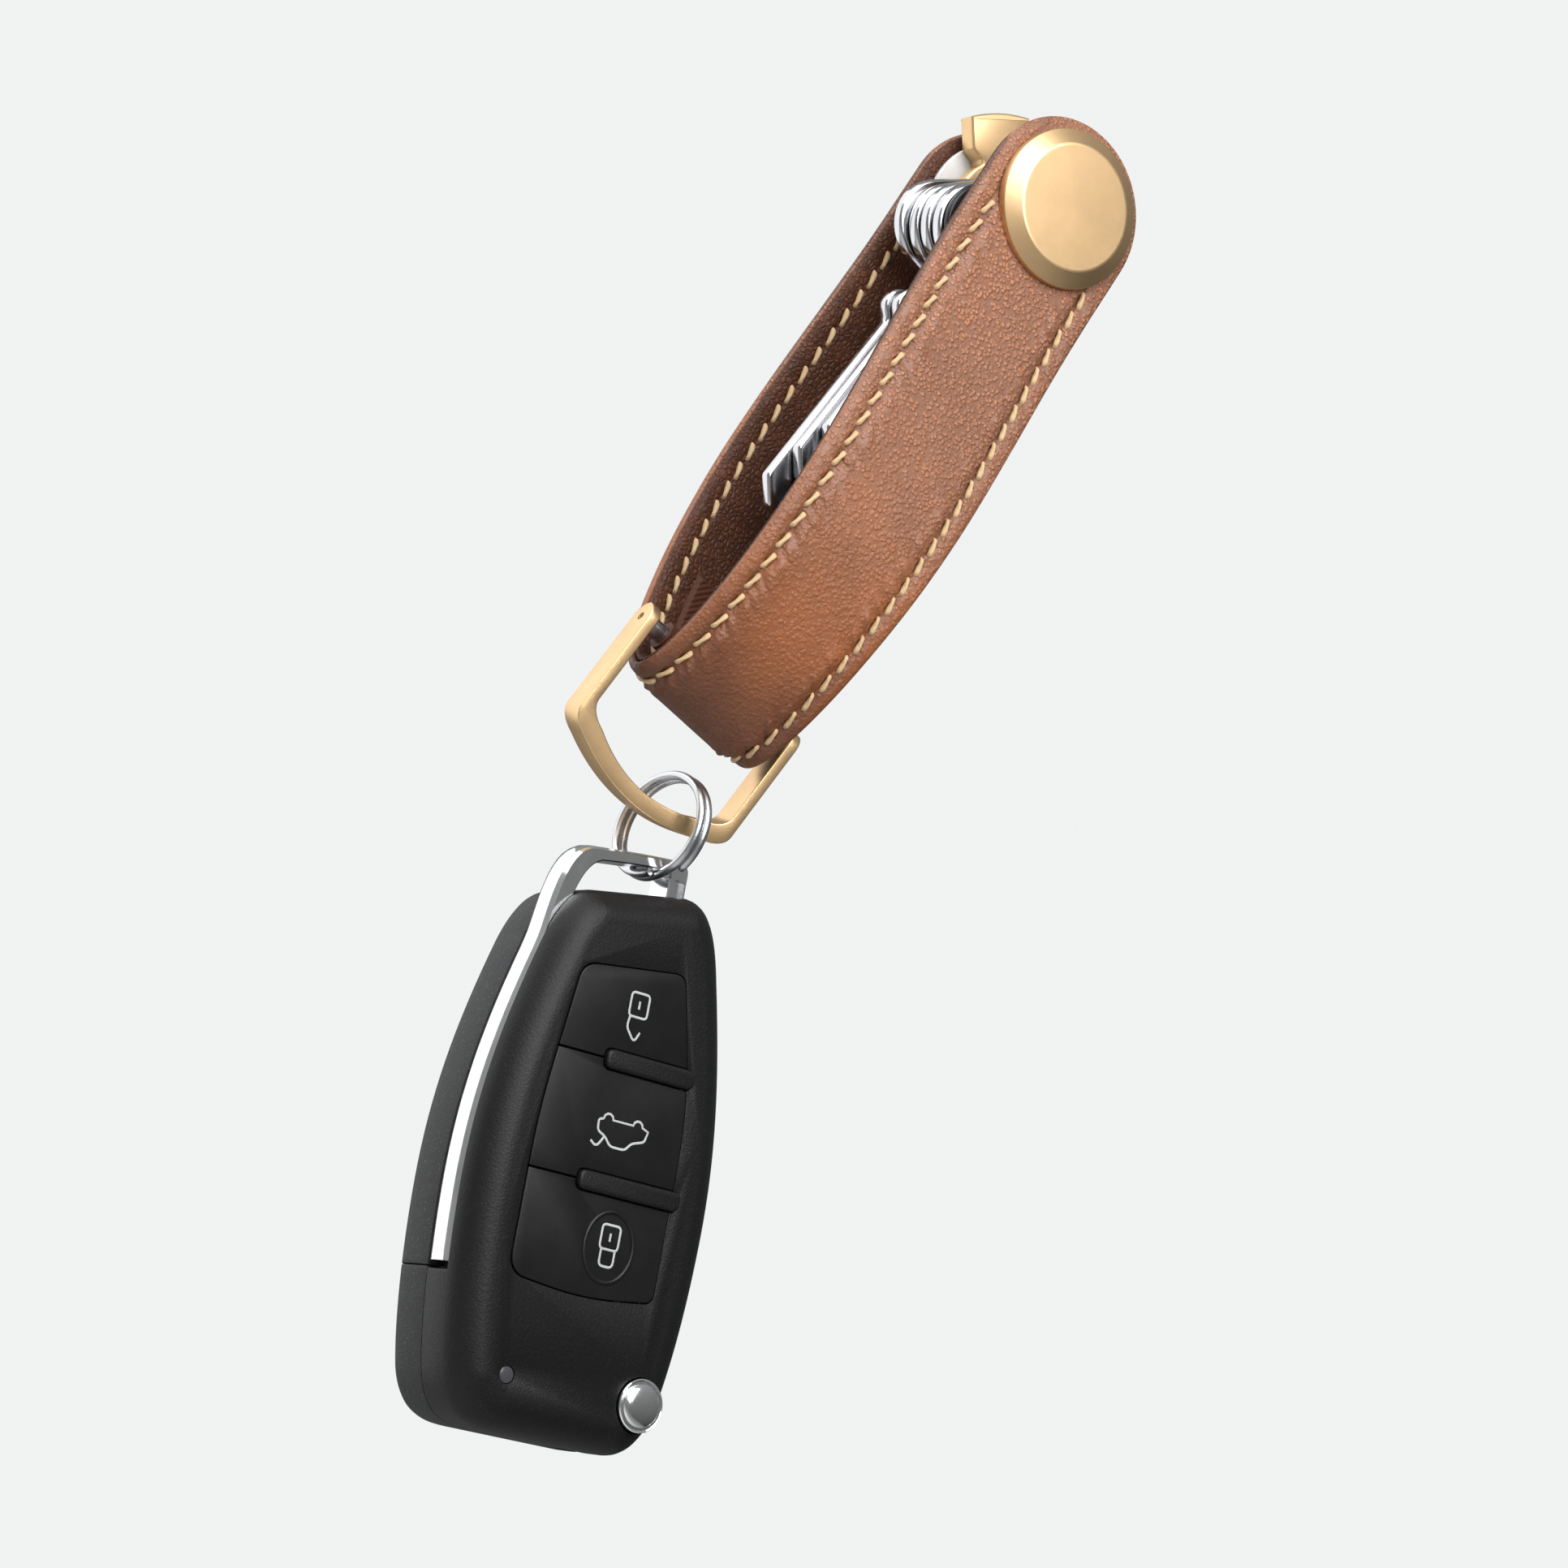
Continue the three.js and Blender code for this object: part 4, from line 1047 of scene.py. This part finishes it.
class KEYORG_OT_split_ring(bpy.types.Operator):
    """Wind the split ring, with both cut ends showing"""

    bl_idname = "key_organiser.split_ring"
    bl_label = "Split ring"

    def execute(self, context):
        steps, around = 240, 20
        rings = []
        for i in range(steps + 1):
            t = i / steps
            turn = 2 * math.pi * RING["turns"] * t + math.radians(RING["start"])
            middle = RING["pitch"] * RING["turns"] * (t - 0.5)
            end = min(i, steps - i)
            wire = RING["wire"] * (0.86 if end == 0 else 1)
            ring = []
            for j in range(around):
                a = 2 * math.pi * j / around
                flat = wire * (abs(math.cos(a)) ** 0.85) * math.copysign(1, math.cos(a))
                r = RING["radius"] + wire * math.sin(a)
                ring.append((middle + flat, r * math.cos(turn), r * math.sin(turn)))
            rings.append(ring)
        coil = loft("split_ring_wound", rings)
        turn = turned(RING["spin"], "Y") @ turned(RING["roll"], "Z")
        place = moved(RING["x"], RING["y"], RING["z"]) @ turn
        complete(coil, "steel", "split_ring", ["split_ring"], place, 50)
        return {"FINISHED"}


# ---- Remote key ----
FOB_TURN = turned(-22.6, "Y") @ turned(-4, "X") @ turned(5, "Z")
PIVOT = {"x": 10.1, "z": -25.0}
LAMP = {"x": -8.1, "z": -24.8}
JOINTS = {joint["name"]: joint for joint in frame["joints"]}
FOB_PLACE = Matrix.Translation(
    Vector(JOINTS["blade_flip"]["pos_m"]) - FOB_TURN @ Vector((PIVOT["x"], 0, PIVOT["z"])) * MM
) @ FOB_TURN
HALF_DEPTH, EDGE = 7.75, 3.8
FACE_Y = -HALF_DEPTH
SEAM = 0.07
TOP_LEFT, TOP_RIGHT, BOTTOM = 29.6, 31.7, -31.0
BAND = {"front": -3.75, "back": -0.1, "proud": 0.35, "depth": 1.3, "end": -14.0}
BAND_GAP = 0.12
LARGE = 60


def fob_outline(grow=0.0, count=16):
    """The remote key's outline, grown outwards."""
    left, right, low, g = TOP_LEFT + grow, TOP_RIGHT + grow, BOTTOM - grow, grow
    corner_runs = [
        ((-6.4, left), (-8.8 - g, left - 0.3), (-10.4 - g, 26.6), (-11.6 - g, 23)),
        ((-11.6 - g, 23), (-15 - g, 12), (-16.3 - g, 4), (-16.2 - g, -5)),
        ((-16.2 - g, -5), (-16.1 - g, -13), (-15.2 - g, -21), (-14 - g, -25.6)),
        ((-14 - g, -25.6), (-13 - g, -29.4 - g), (-11 - g, low), (-7, low)),
        ((-7, low), (-2, low), (3.4, low), (8.4, low)),
        ((8.4, low), (11 + g, low), (13.2 + g, -29.2 - g), (14.1 + g, -25.4)),
        ((14.1 + g, -25.4), (15.4 + g, -20), (16.1 + g, -13), (16.2 + g, -5)),
        ((16.2 + g, -5), (16.3 + g, 4), (15 + g, 12), (12 + g, 23)),
        ((12 + g, 23), (11 + g, 27), (9.6 + g, right), (6, right)),
        ((6, right), (2, right - 0.7), (-2.4, left + 0.7), (-6.4, left)),
    ]
    return [p for run in corner_runs for p in bezier(*run, count)]


def fob_slab(name, inset, steps=9):
    """A rounded slab of the outline, shrunk all over by the inset."""
    edge = EDGE - inset
    rings = []
    for side in (1, -1):
        for i in range(steps + 1):
            turn = math.pi / 2 * (i / steps if side > 0 else 1 - i / steps)
            outline = fob_outline(-inset - edge * (1 - math.sin(turn)))
            y = side * (HALF_DEPTH - EDGE + edge * math.cos(turn))
            rings.append([(x, y, z) for x, z in outline])
    return loft(name, rings)


def loop_sides(clear=0.0):
    """Outer and inner line of the loop: up from the left side, along the bar and down the post."""
    c = clear
    outer = bezier((-12.0 - c, 23), (-11.2 - c, 25.6), (-11.2 - c, 34.2), (-6.8, 34.7 + c), 14)
    inner = bezier((-9.9 + c, 23), (-8.9 + c, 26.2), (-8.4 + c, 32.2), (-5.4, 33.2 - c), 14)
    outer += bezier((-6.8, 34.7 + c), (-3, 35.2 + c), (1, 35.7 + c), (4.6, 35.95 + c), 8)
    inner += bezier((-5.4, 33.2 - c), (-2.4, 33.7 - c), (1, 34.1 - c), (3.7, 34.4 - c), 8)
    outer += bezier((4.6, 35.95 + c), (6.1 + c, 36.0 + c), (6.9 + c, 35.6), (6.9 + c, 34.4), 6)
    inner += bezier((3.7, 34.4 - c), (3.95 - c, 34.4 - c), (4 - c, 34.3 - c), (4 - c, 34.0), 6)
    outer += [(6.9 + c, z) for z in (34.4, 32.5, 30.5, 28.6 - c)]
    inner += [(4 - c, z) for z in (34.0, 32.2, 30.4, 28.6 - c)]
    return outer, inner


def loop_outline(clear=0.0):
    outer, inner = loop_sides(clear)
    return outer + inner[::-1]


def band_sides():
    """Outer and inner line of the whole band, from its lower end up the left side and round the loop."""

    def left(grow):
        return fob_outline(grow, 24)[25:72]

    pairs = [(o, i) for o, i in zip(left(BAND["proud"]), left(-BAND["depth"])) if o[1] > BAND["end"]]
    pairs.append(((pairs[-1][0][0], BAND["end"]), (pairs[-1][1][0], BAND["end"])))
    outer, inner = loop_sides()
    return [o for o, _ in pairs[::-1]] + outer, [i for _, i in pairs[::-1]] + inner


def crowned_band(name, outer, inner, y0, y1, crown=0.42, across=10):
    """A band between two lines whose outer side swells in the middle and whose rims are rounded."""
    rings = []
    for o, i in zip(outer, inner):
        o, i = Vector(o), Vector(i)
        out = (o - i).normalized()
        ring = []
        for k in range(across + 1):
            t = k / across
            swell = crown * (2 * t - 1) ** 2 + 0.10 * (2 * t - 1) ** 12
            p = o - out * swell
            ring.append((p.x, y0 + (y1 - y0) * t, p.y))
        for y, inset in ((y1, 0.15), (y1 - 0.15, 0.0), (y0 + 0.15, 0.0), (y0, 0.15)):
            p = i + out * inset
            ring.append((p.x, y, p.y))
        rings.append(ring)
    return loft(name, rings)


def band_room():
    """What the shells leave open for the band."""
    y0, y1 = BAND["front"] - BAND_GAP, SEAM + 0.02
    skin = plate("skin", fob_outline(2), y0, y1)
    combine(skin, [block((-LARGE, y0 - 1, BAND["end"] - 0.9), (-8, y1 + 1, 29))], "INTERSECT")
    combine(skin, [plate("keep", fob_outline(-BAND["depth"] - BAND_GAP), y0 - 1, y1 + 1)])
    return combine(skin, [plate("loop", loop_outline(BAND_GAP), y0 - 0.01, y1 + 0.01)], "UNION")


def panel_outline(clear=0.0):
    return rounded([
        (-8.4 - clear, 21 + clear, 2), (5.8 + clear, 22.8 + clear, 1.5), (9.4 + clear, 8, 6),
        (9.4 + clear, -13.9 - clear, 1.2), (0, -15.1 - clear, 5), (-10.6 - clear, -14.1 - clear, 2.4),
        (-10.6 - clear, 4, 5),
    ], 8)


DIVIDERS = ((11.3, -3.2, 9.2), (-2.3, -3.9, 10.2))


def divider_outline(z, left, right, grow=0.0):
    low, high = z - 1.1 - grow, z + 1.1 + grow
    left, right = left - grow, right + grow
    return rounded([(left, low, 1), (right, low, 1), (right, high, 1), (left, high, 1)])


class KEYORG_OT_shells(bpy.types.Operator):
    """Mould the remote key's front shell, back cover and back housing"""

    bl_idname = "key_organiser.remote_shells"
    bl_label = "Remote key shells"

    def execute(self, context):
        wall = context.scene.ko_remote.wall / MM
        slab = combine(fob_slab("front_shell_moulded", 0), [fob_slab("inside", wall)])
        rear = copy_of(slab)
        rear.name = "back_cover_moulded"

        def openings():
            slot = block((5.2, -1.4, -LARGE), (LARGE, 1.4, 19.5))
            return [slot, rod(4.55, -2.55, 2.55, PIVOT["x"], PIVOT["z"]), band_room()]

        keypad = plate("keypad", panel_outline(), FACE_Y - 2, FACE_Y + 3)
        release = rod(3.15, FACE_Y - 2, FACE_Y + 5, PIVOT["x"], PIVOT["z"])
        lamp = rod(1.0, FACE_Y - 2, FACE_Y + 4, LAMP["x"], LAMP["z"])
        bars = [plate("bar", divider_outline(*d, 0.12), FACE_Y - 2, FACE_Y + 3) for d in DIVIDERS]
        behind = block((-LARGE, -SEAM, -LARGE), (LARGE, LARGE, LARGE))
        combine(slab, [behind, *openings(), keypad, release, lamp, *bars])
        soften(slab, 0.14, 2, 42)
        complete(slab, "shell", "fob", ["front_shell"], FOB_PLACE, 32)

        ahead = block((-LARGE, -LARGE, -LARGE), (LARGE, SEAM, LARGE))
        combine(rear, [ahead, *openings()])
        lower = copy_of(rear)
        lower.name = "back_housing_moulded"
        split = BAND["end"] - 0.6
        combine(rear, [block((-LARGE, -LARGE, -LARGE), (LARGE, LARGE, split + 0.09))])
        combine(lower, [block((-LARGE, -LARGE, split - 0.09), (LARGE, LARGE, LARGE))])
        for obj, node in ((rear, "back_cover"), (lower, "back_housing")):
            soften(obj, 0.14, 2, 42)
            complete(obj, "back", "fob", [node], FOB_PLACE, 32)
        return {"FINISHED"}


class KEYORG_OT_band(bpy.types.Operator):
    """Plate the chrome band that runs up the left side and over the top as the loop"""

    bl_idname = "key_organiser.chrome_band"
    bl_label = "Chrome band and loop"

    def execute(self, context):
        band = crowned_band("chrome_band_plated", *band_sides(), BAND["front"], BAND["back"])
        recess = block((4.75, BAND["front"] - 1, 31.6), (6.15, BAND["front"] + 0.55, 33.6))
        combine(band, [recess])
        complete(band, "chrome", "fob", ["chrome_band"], FOB_PLACE, 40)
        return {"FINISHED"}


BUTTONS = ("unlock", "boot", "lock")


def stroke(name, lines, y, width=0.28, thick=0.07):
    """Printed lines: each a list of (x, z) and whether it closes, as flat rounded ribbons."""
    curve = bpy.data.curves.new(name, "CURVE")
    curve.dimensions, curve.bevel_depth, curve.bevel_resolution = "3D", width / 2 * MM, 3
    curve.use_fill_caps = True
    for points, closed in lines:
        spline = curve.splines.new("POLY")
        spline.points.add(len(points) - 1)
        for point, (x, z) in zip(spline.points, points):
            point.co = (x * MM, 0, z * MM, 1)
        spline.use_cyclic_u = closed
    drawn = link(bpy.data.objects.new(name, curve))
    mesh = bpy.data.meshes.new_from_object(drawn.evaluated_get(bpy.context.evaluated_depsgraph_get()))
    bpy.data.objects.remove(drawn)
    mesh.transform(Matrix.Translation((0, y * MM, 0)) @ Matrix.Diagonal((1, thick / width, 1, 1)))
    return link(bpy.data.objects.new(name, mesh))


def padlock(x, z, open_shackle):
    """A padlock drawn body up: a rounded body with a keyhole line and a shackle below it."""
    body = rounded([(x - 1.25, z - 1.35, 0.5), (x + 1.25, z - 1.35, 0.5), (x + 1.25, z + 1.35, 0.5),
                    (x - 1.25, z + 1.35, 0.5)], 4)
    keyhole = [(x, z - 0.45), (x, z + 0.45)]
    low = z - 1.35
    if open_shackle:
        bow = rounded([(x - 1.0, low, 0), (x - 1.2, low - 1.3, 0.5), (x + 0.1, low - 2.8, 0.6),
                       (x + 0.7, low - 1.6, 0)], 4)
    else:
        bow = rounded([(x - 0.95, low, 0), (x - 0.95, low - 1.9, 0.6), (x + 0.95, low - 1.9, 0.6),
                       (x + 0.95, low, 0)], 4)
    return [(body, True), (keyhole, False), (bow, False)]


def car(x, z):
    """A car drawn wheels up, with its boot lid open."""
    roof = rounded([(x + 3.6, z + 0.7, 0), (x + 3.3, z - 0.5, 0.4), (x + 1.6, z - 1.0, 0.5),
                    (x + 0.9, z - 1.9, 0.5), (x - 1.2, z - 1.9, 0.5), (x - 2.1, z - 0.9, 0.5),
                    (x - 3.2, z - 0.5, 0.5), (x - 3.3, z + 0.9, 0.5)], 4)
    under = []
    for wheel in (x - 2.0, x + 2.1):
        under += [(wheel + 0.65 * math.cos(a), z + 1.0 + 0.6 * math.sin(a))
                  for a in [math.radians(180 - 36 * i) for i in range(6)]]
    lid = rounded([(x - 2.1, z - 0.9, 0), (x - 3.0, z - 2.3, 0.7), (x - 3.9, z - 1.7, 0)], 4)
    return [(roof + under, True), (lid, False)]


class KEYORG_OT_keypad(bpy.types.Operator):
    """Fit the three buttons, the divider bars and the printed icons"""

    bl_idname = "key_organiser.keypad"
    bl_label = "Buttons and icons"

    def execute(self, context):
        top, thick = FACE_Y - 0.15, 1.7
        levels = (LARGE, DIVIDERS[0][0], DIVIDERS[1][0], -LARGE)
        icons = (padlock(0.1, 17.9, True), car(0.8, 3.8), padlock(1.95, -7.8, False))
        for i, name in enumerate(BUTTONS):
            button = plate(f"{name}_button_moulded", panel_outline(-0.15), top, top + thick)
            tools = [plate("room", divider_outline(*d, 0.12), top - 2, top + thick + 2) for d in DIVIDERS]
            tools.append(block((-LARGE, -LARGE, levels[i] - 0.1), (LARGE, LARGE, LARGE)))
            tools.append(block((-LARGE, -LARGE, -LARGE), (LARGE, LARGE, levels[i + 1] + 0.1)))
            combine(button, tools)
            soften(button, 0.2, 3, 50)
            body = f"{name}_button"
            complete(button, "button", body, [body], FOB_PLACE, 32)
            complete(stroke(f"{name}_icon", icons[i], top - 0.01), "icon", body, (), FOB_PLACE, 60)
        line = oval(3.3, 3.9, 1.95, -8.9, 72)
        rim = stroke("lock_button_ring", [(line, True)], top - 0.02, 0.55, 0.36)
        complete(rim, "button", "lock_button", (), FOB_PLACE, 60)
        for i, divider in enumerate(DIVIDERS):
            node = f"divider_bar_{i + 1}"
            shape = divider_outline(*divider)
            bar = plate(f"{node}_moulded", shape, FACE_Y - 0.75, top + thick, 0.35, 4)
            complete(bar, "shell", "fob", [node], FOB_PLACE, 32)
        return {"FINISHED"}


class KEYORG_OT_release(bpy.types.Operator):
    """Turn the chrome release button with its rim, and the indicator lamp"""

    bl_idname = "key_organiser.release_button"
    bl_label = "Release button and lamp"

    def execute(self, context):
        angles = [math.radians(a) for a in range(0, 91, 9)]
        dome = [(2.45 * math.sin(a), 0.25 + 0.72 * math.cos(a)) for a in angles]
        rim = [(2.5, 0.12), (2.6, 0.1), (2.72, 0.3), (2.86, 0.36), (2.98, 0.24), (3.0, 0.05),
               (3.0, -2.9), (0, -2.9)]
        button = lathe("release_button_plated", dome + rim, 96)
        place = FOB_PLACE @ moved(PIVOT["x"], FACE_Y - 0.1, PIVOT["z"]) @ turned(90, "X")
        complete(button, "chrome", "release_button", ["release_button"], place, 34)
        profile = [(0, 0.02), (0.6, 0.0), (0.9, -0.1), (0.95, -0.2), (0.95, -1.6), (0, -1.6)]
        lamp = lathe("led_lens_clear", profile, 48)
        place = FOB_PLACE @ moved(LAMP["x"], FACE_Y, LAMP["z"]) @ turned(90, "X")
        complete(lamp, "lens", "fob", ["led_lens"], place, 34)
        return {"FINISHED"}


class KEYORG_OT_insides(bpy.types.Operator):
    """Finish the flip blade, its pin, the keypad mat, the circuit board and the battery"""

    bl_idname = "key_organiser.insides"
    bl_label = "Flip blade and insides"

    def execute(self, context):
        half, thick, reach, hub_radius, pin_hole = 3.5, 1.2, 43, 4.3, 1.55
        outline = rounded([(-2.9, 0, 0), (2.9, 0, 0), (half, 7, 1), (half, reach - 2.5, 0.6),
                           (half - 2.5, reach, 0.6), (2.5 - half, reach, 0.6), (-half, reach - 2.5, 0.6),
                           (-half, 7, 1)], 4)
        blade = plate("flip_blade_milled", outline, -thick, thick, 0.2, 3)
        combine(blade, [block((-0.8, -thick - 1, 8), (0.8, 0.7 - thick, reach - 4))])
        blade.data.transform(turned(-5.5, "Y"))
        hub = plate("hub", circle(hub_radius, count=64), -2.4, 2.4, 0.25, 3)
        combine(blade, [hub], "UNION")
        combine(blade, [rod(pin_hole, -5, 5)])
        place = FOB_PLACE @ moved(PIVOT["x"], 0, PIVOT["z"])
        complete(blade, "nickel", "flip_blade", ["flip_blade"], place, 32)
        for node, finish in (("pivot_pin", "steel"), ("keypad_mat", "mat"), ("circuit_board", "board"),
                             ("coin_cell", "steel")):
            dress(node, finish)
        return {"FINISHED"}


# ---- Stage ----
CAMERA_AT = (-201.05, -411.86, -236.59)
CAMERA_FORWARD = (0.429, 0.843, 0.325)
CAMERA_UP = (-0.605, 0.001, 0.796)
CAMERA_LENS = 100.6
GLOW_LOW, GLOW_HIGH, GLOW_DIM, GLOW_BRIGHT = -0.7, 0.9, 0.06, 0.42
FLOOR_HALF = 2.5


class KEYORG_OT_stage(bpy.types.Operator):
    """Set the pale floor, the soft lights and the camera"""

    bl_idname = "key_organiser.stage"
    bl_label = "Floor, lights and camera"

    def execute(self, context):
        scene, settings = context.scene, context.scene.ko_stage
        scene.view_settings.view_transform = "Standard"
        forward = Vector(CAMERA_FORWARD).normalized()
        right = forward.cross(Vector(CAMERA_UP)).normalized()
        up = right.cross(forward)
        turn = Matrix((right, up, -forward)).transposed().to_4x4()
        camera = link(bpy.data.objects.new("camera", bpy.data.cameras.new("camera")))
        camera.data.lens, camera.data.sensor_width = CAMERA_LENS, 36
        camera.matrix_world = Matrix.Translation(Vector(CAMERA_AT) * MM) @ turn
        scene.camera = camera
        self.light_room(scene, settings)
        centre = (CAD_BOX[0] + CAD_BOX[1]) / 2
        power = settings.key_light
        boxes = (
            ("left_softbox", (-0.56, 0.30, -0.26), (0.85, 0.95), power * 0.72),
            ("key_softbox", (0.32, 0.39, 0.49), (0.60, 0.60), power * 1.3),
            ("top_softbox", (-0.10, 0.62, 0.20), (0.90, 0.50), power * 0.7),
            ("right_softbox", (0.455, 0.185, 0.44), (0.13, 0.30), power * 0.24),
        )
        for name, (x, y, z), (wide, tall), watts in boxes:
            lamp = link(bpy.data.objects.new(name, bpy.data.lights.new(name, "AREA")))
            lamp.data.shape, lamp.data.energy = "RECTANGLE", watts
            lamp.data.size, lamp.data.size_y = wide, tall
            place = centre + right * x + up * y - forward * z
            facing = (place - centre).to_track_quat("Z", "Y").to_matrix().to_4x4()
            lamp.matrix_world = Matrix.Translation(place) @ facing
        return {"FINISHED"}

    def light_room(self, scene, settings):
        """A pale room that lights less than it shows, and a pale floor that shows as the backdrop."""
        world = bpy.data.worlds.new("room")
        scene.world = world
        world.use_nodes = True
        room = Nodes(world.node_tree)
        way = room.node("ShaderNodeTexCoord").outputs["Generated"]
        along = room.node("ShaderNodeVectorMath", {"operation": "DOT_PRODUCT"}, {0: way, 1: CAMERA_UP})
        limits = {1: GLOW_LOW, 2: GLOW_HIGH, 3: GLOW_DIM, 4: GLOW_BRIGHT}
        glow = room.node("ShaderNodeMapRange", None, {0: along.outputs["Value"], **limits}).outputs[0]
        seen = room.node("ShaderNodeBackground", None, {0: settings.backdrop}).outputs[0]
        lit = room.node("ShaderNodeBackground", None, {0: settings.backdrop, 1: glow}).outputs[0]
        path = room.node("ShaderNodeLightPath").outputs["Is Camera Ray"]
        mixed = room.node("ShaderNodeMixShader", None, {0: path, 1: lit, 2: seen}).outputs[0]
        room.node("ShaderNodeOutputWorld", None, {0: mixed})
        half, drop = FLOOR_HALF, -settings.floor_drop
        mesh = bpy.data.meshes.new("floor")
        square = [(-half, -half, drop), (half, -half, drop), (half, half, drop), (-half, half, drop)]
        mesh.from_pydata(square, [], [(0, 1, 2, 3)])
        floor = link(bpy.data.objects.new("floor", mesh))
        paper = Finish("pale_floor", (0.8, 0.8, 0.79), 0.8)
        mesh.materials.append(paper.vary(roughness=0.7 + 0.2 * paper.noise(0.02)))
        glowing = paper.node("ShaderNodeEmission", None, {"Color": settings.backdrop}).outputs[0]
        path = paper.node("ShaderNodeLightPath").outputs["Is Camera Ray"]
        shaders = {0: path, 1: paper.surface.outputs[0], 2: glowing}
        mixed = paper.node("ShaderNodeMixShader", None, shaders).outputs[0]
        paper.feed(paper.output.inputs["Surface"], mixed)


OPERATORS = (
    KEYORG_OT_stage, KEYORG_OT_strap, KEYORG_OT_stitching, KEYORG_OT_discs, KEYORG_OT_keys, KEYORG_OT_tab,
    KEYORG_OT_d_ring, KEYORG_OT_split_ring, KEYORG_OT_shells, KEYORG_OT_band, KEYORG_OT_keypad,
    KEYORG_OT_release, KEYORG_OT_insides,
)
SETTINGS = {"ko_strap": StrapSettings, "ko_hardware": HardwareSettings, "ko_remote": RemoteSettings,
            "ko_stage": StageSettings}


class KEYORG_PT_panel(bpy.types.Panel):
    """The key organiser's settings and the operators that build it"""

    bl_idname = "KEYORG_PT_panel"
    bl_label = "Key organiser"
    bl_space_type = "VIEW_3D"
    bl_region_type = "UI"
    bl_category = "Key organiser"

    def draw(self, context):
        for name, group in SETTINGS.items():
            box = self.layout.box()
            for prop in group.__annotations__:
                box.prop(getattr(context.scene, name), prop)
        for operator in OPERATORS:
            self.layout.operator(operator.bl_idname)


def register():
    for cls in (*SETTINGS.values(), *OPERATORS, KEYORG_PT_panel):
        bpy.utils.register_class(cls)
    for name, group in SETTINGS.items():
        setattr(bpy.types.Scene, name, PointerProperty(type=group))


def unregister():
    for name in SETTINGS:
        delattr(bpy.types.Scene, name)
    for cls in reversed((*SETTINGS.values(), *OPERATORS, KEYORG_PT_panel)):
        bpy.utils.unregister_class(cls)


def main():
    register()
    for operator in OPERATORS:
        group, name = operator.bl_idname.split(".")
        getattr(getattr(bpy.ops, group), name)()


if __name__ == "__main__":
    main()
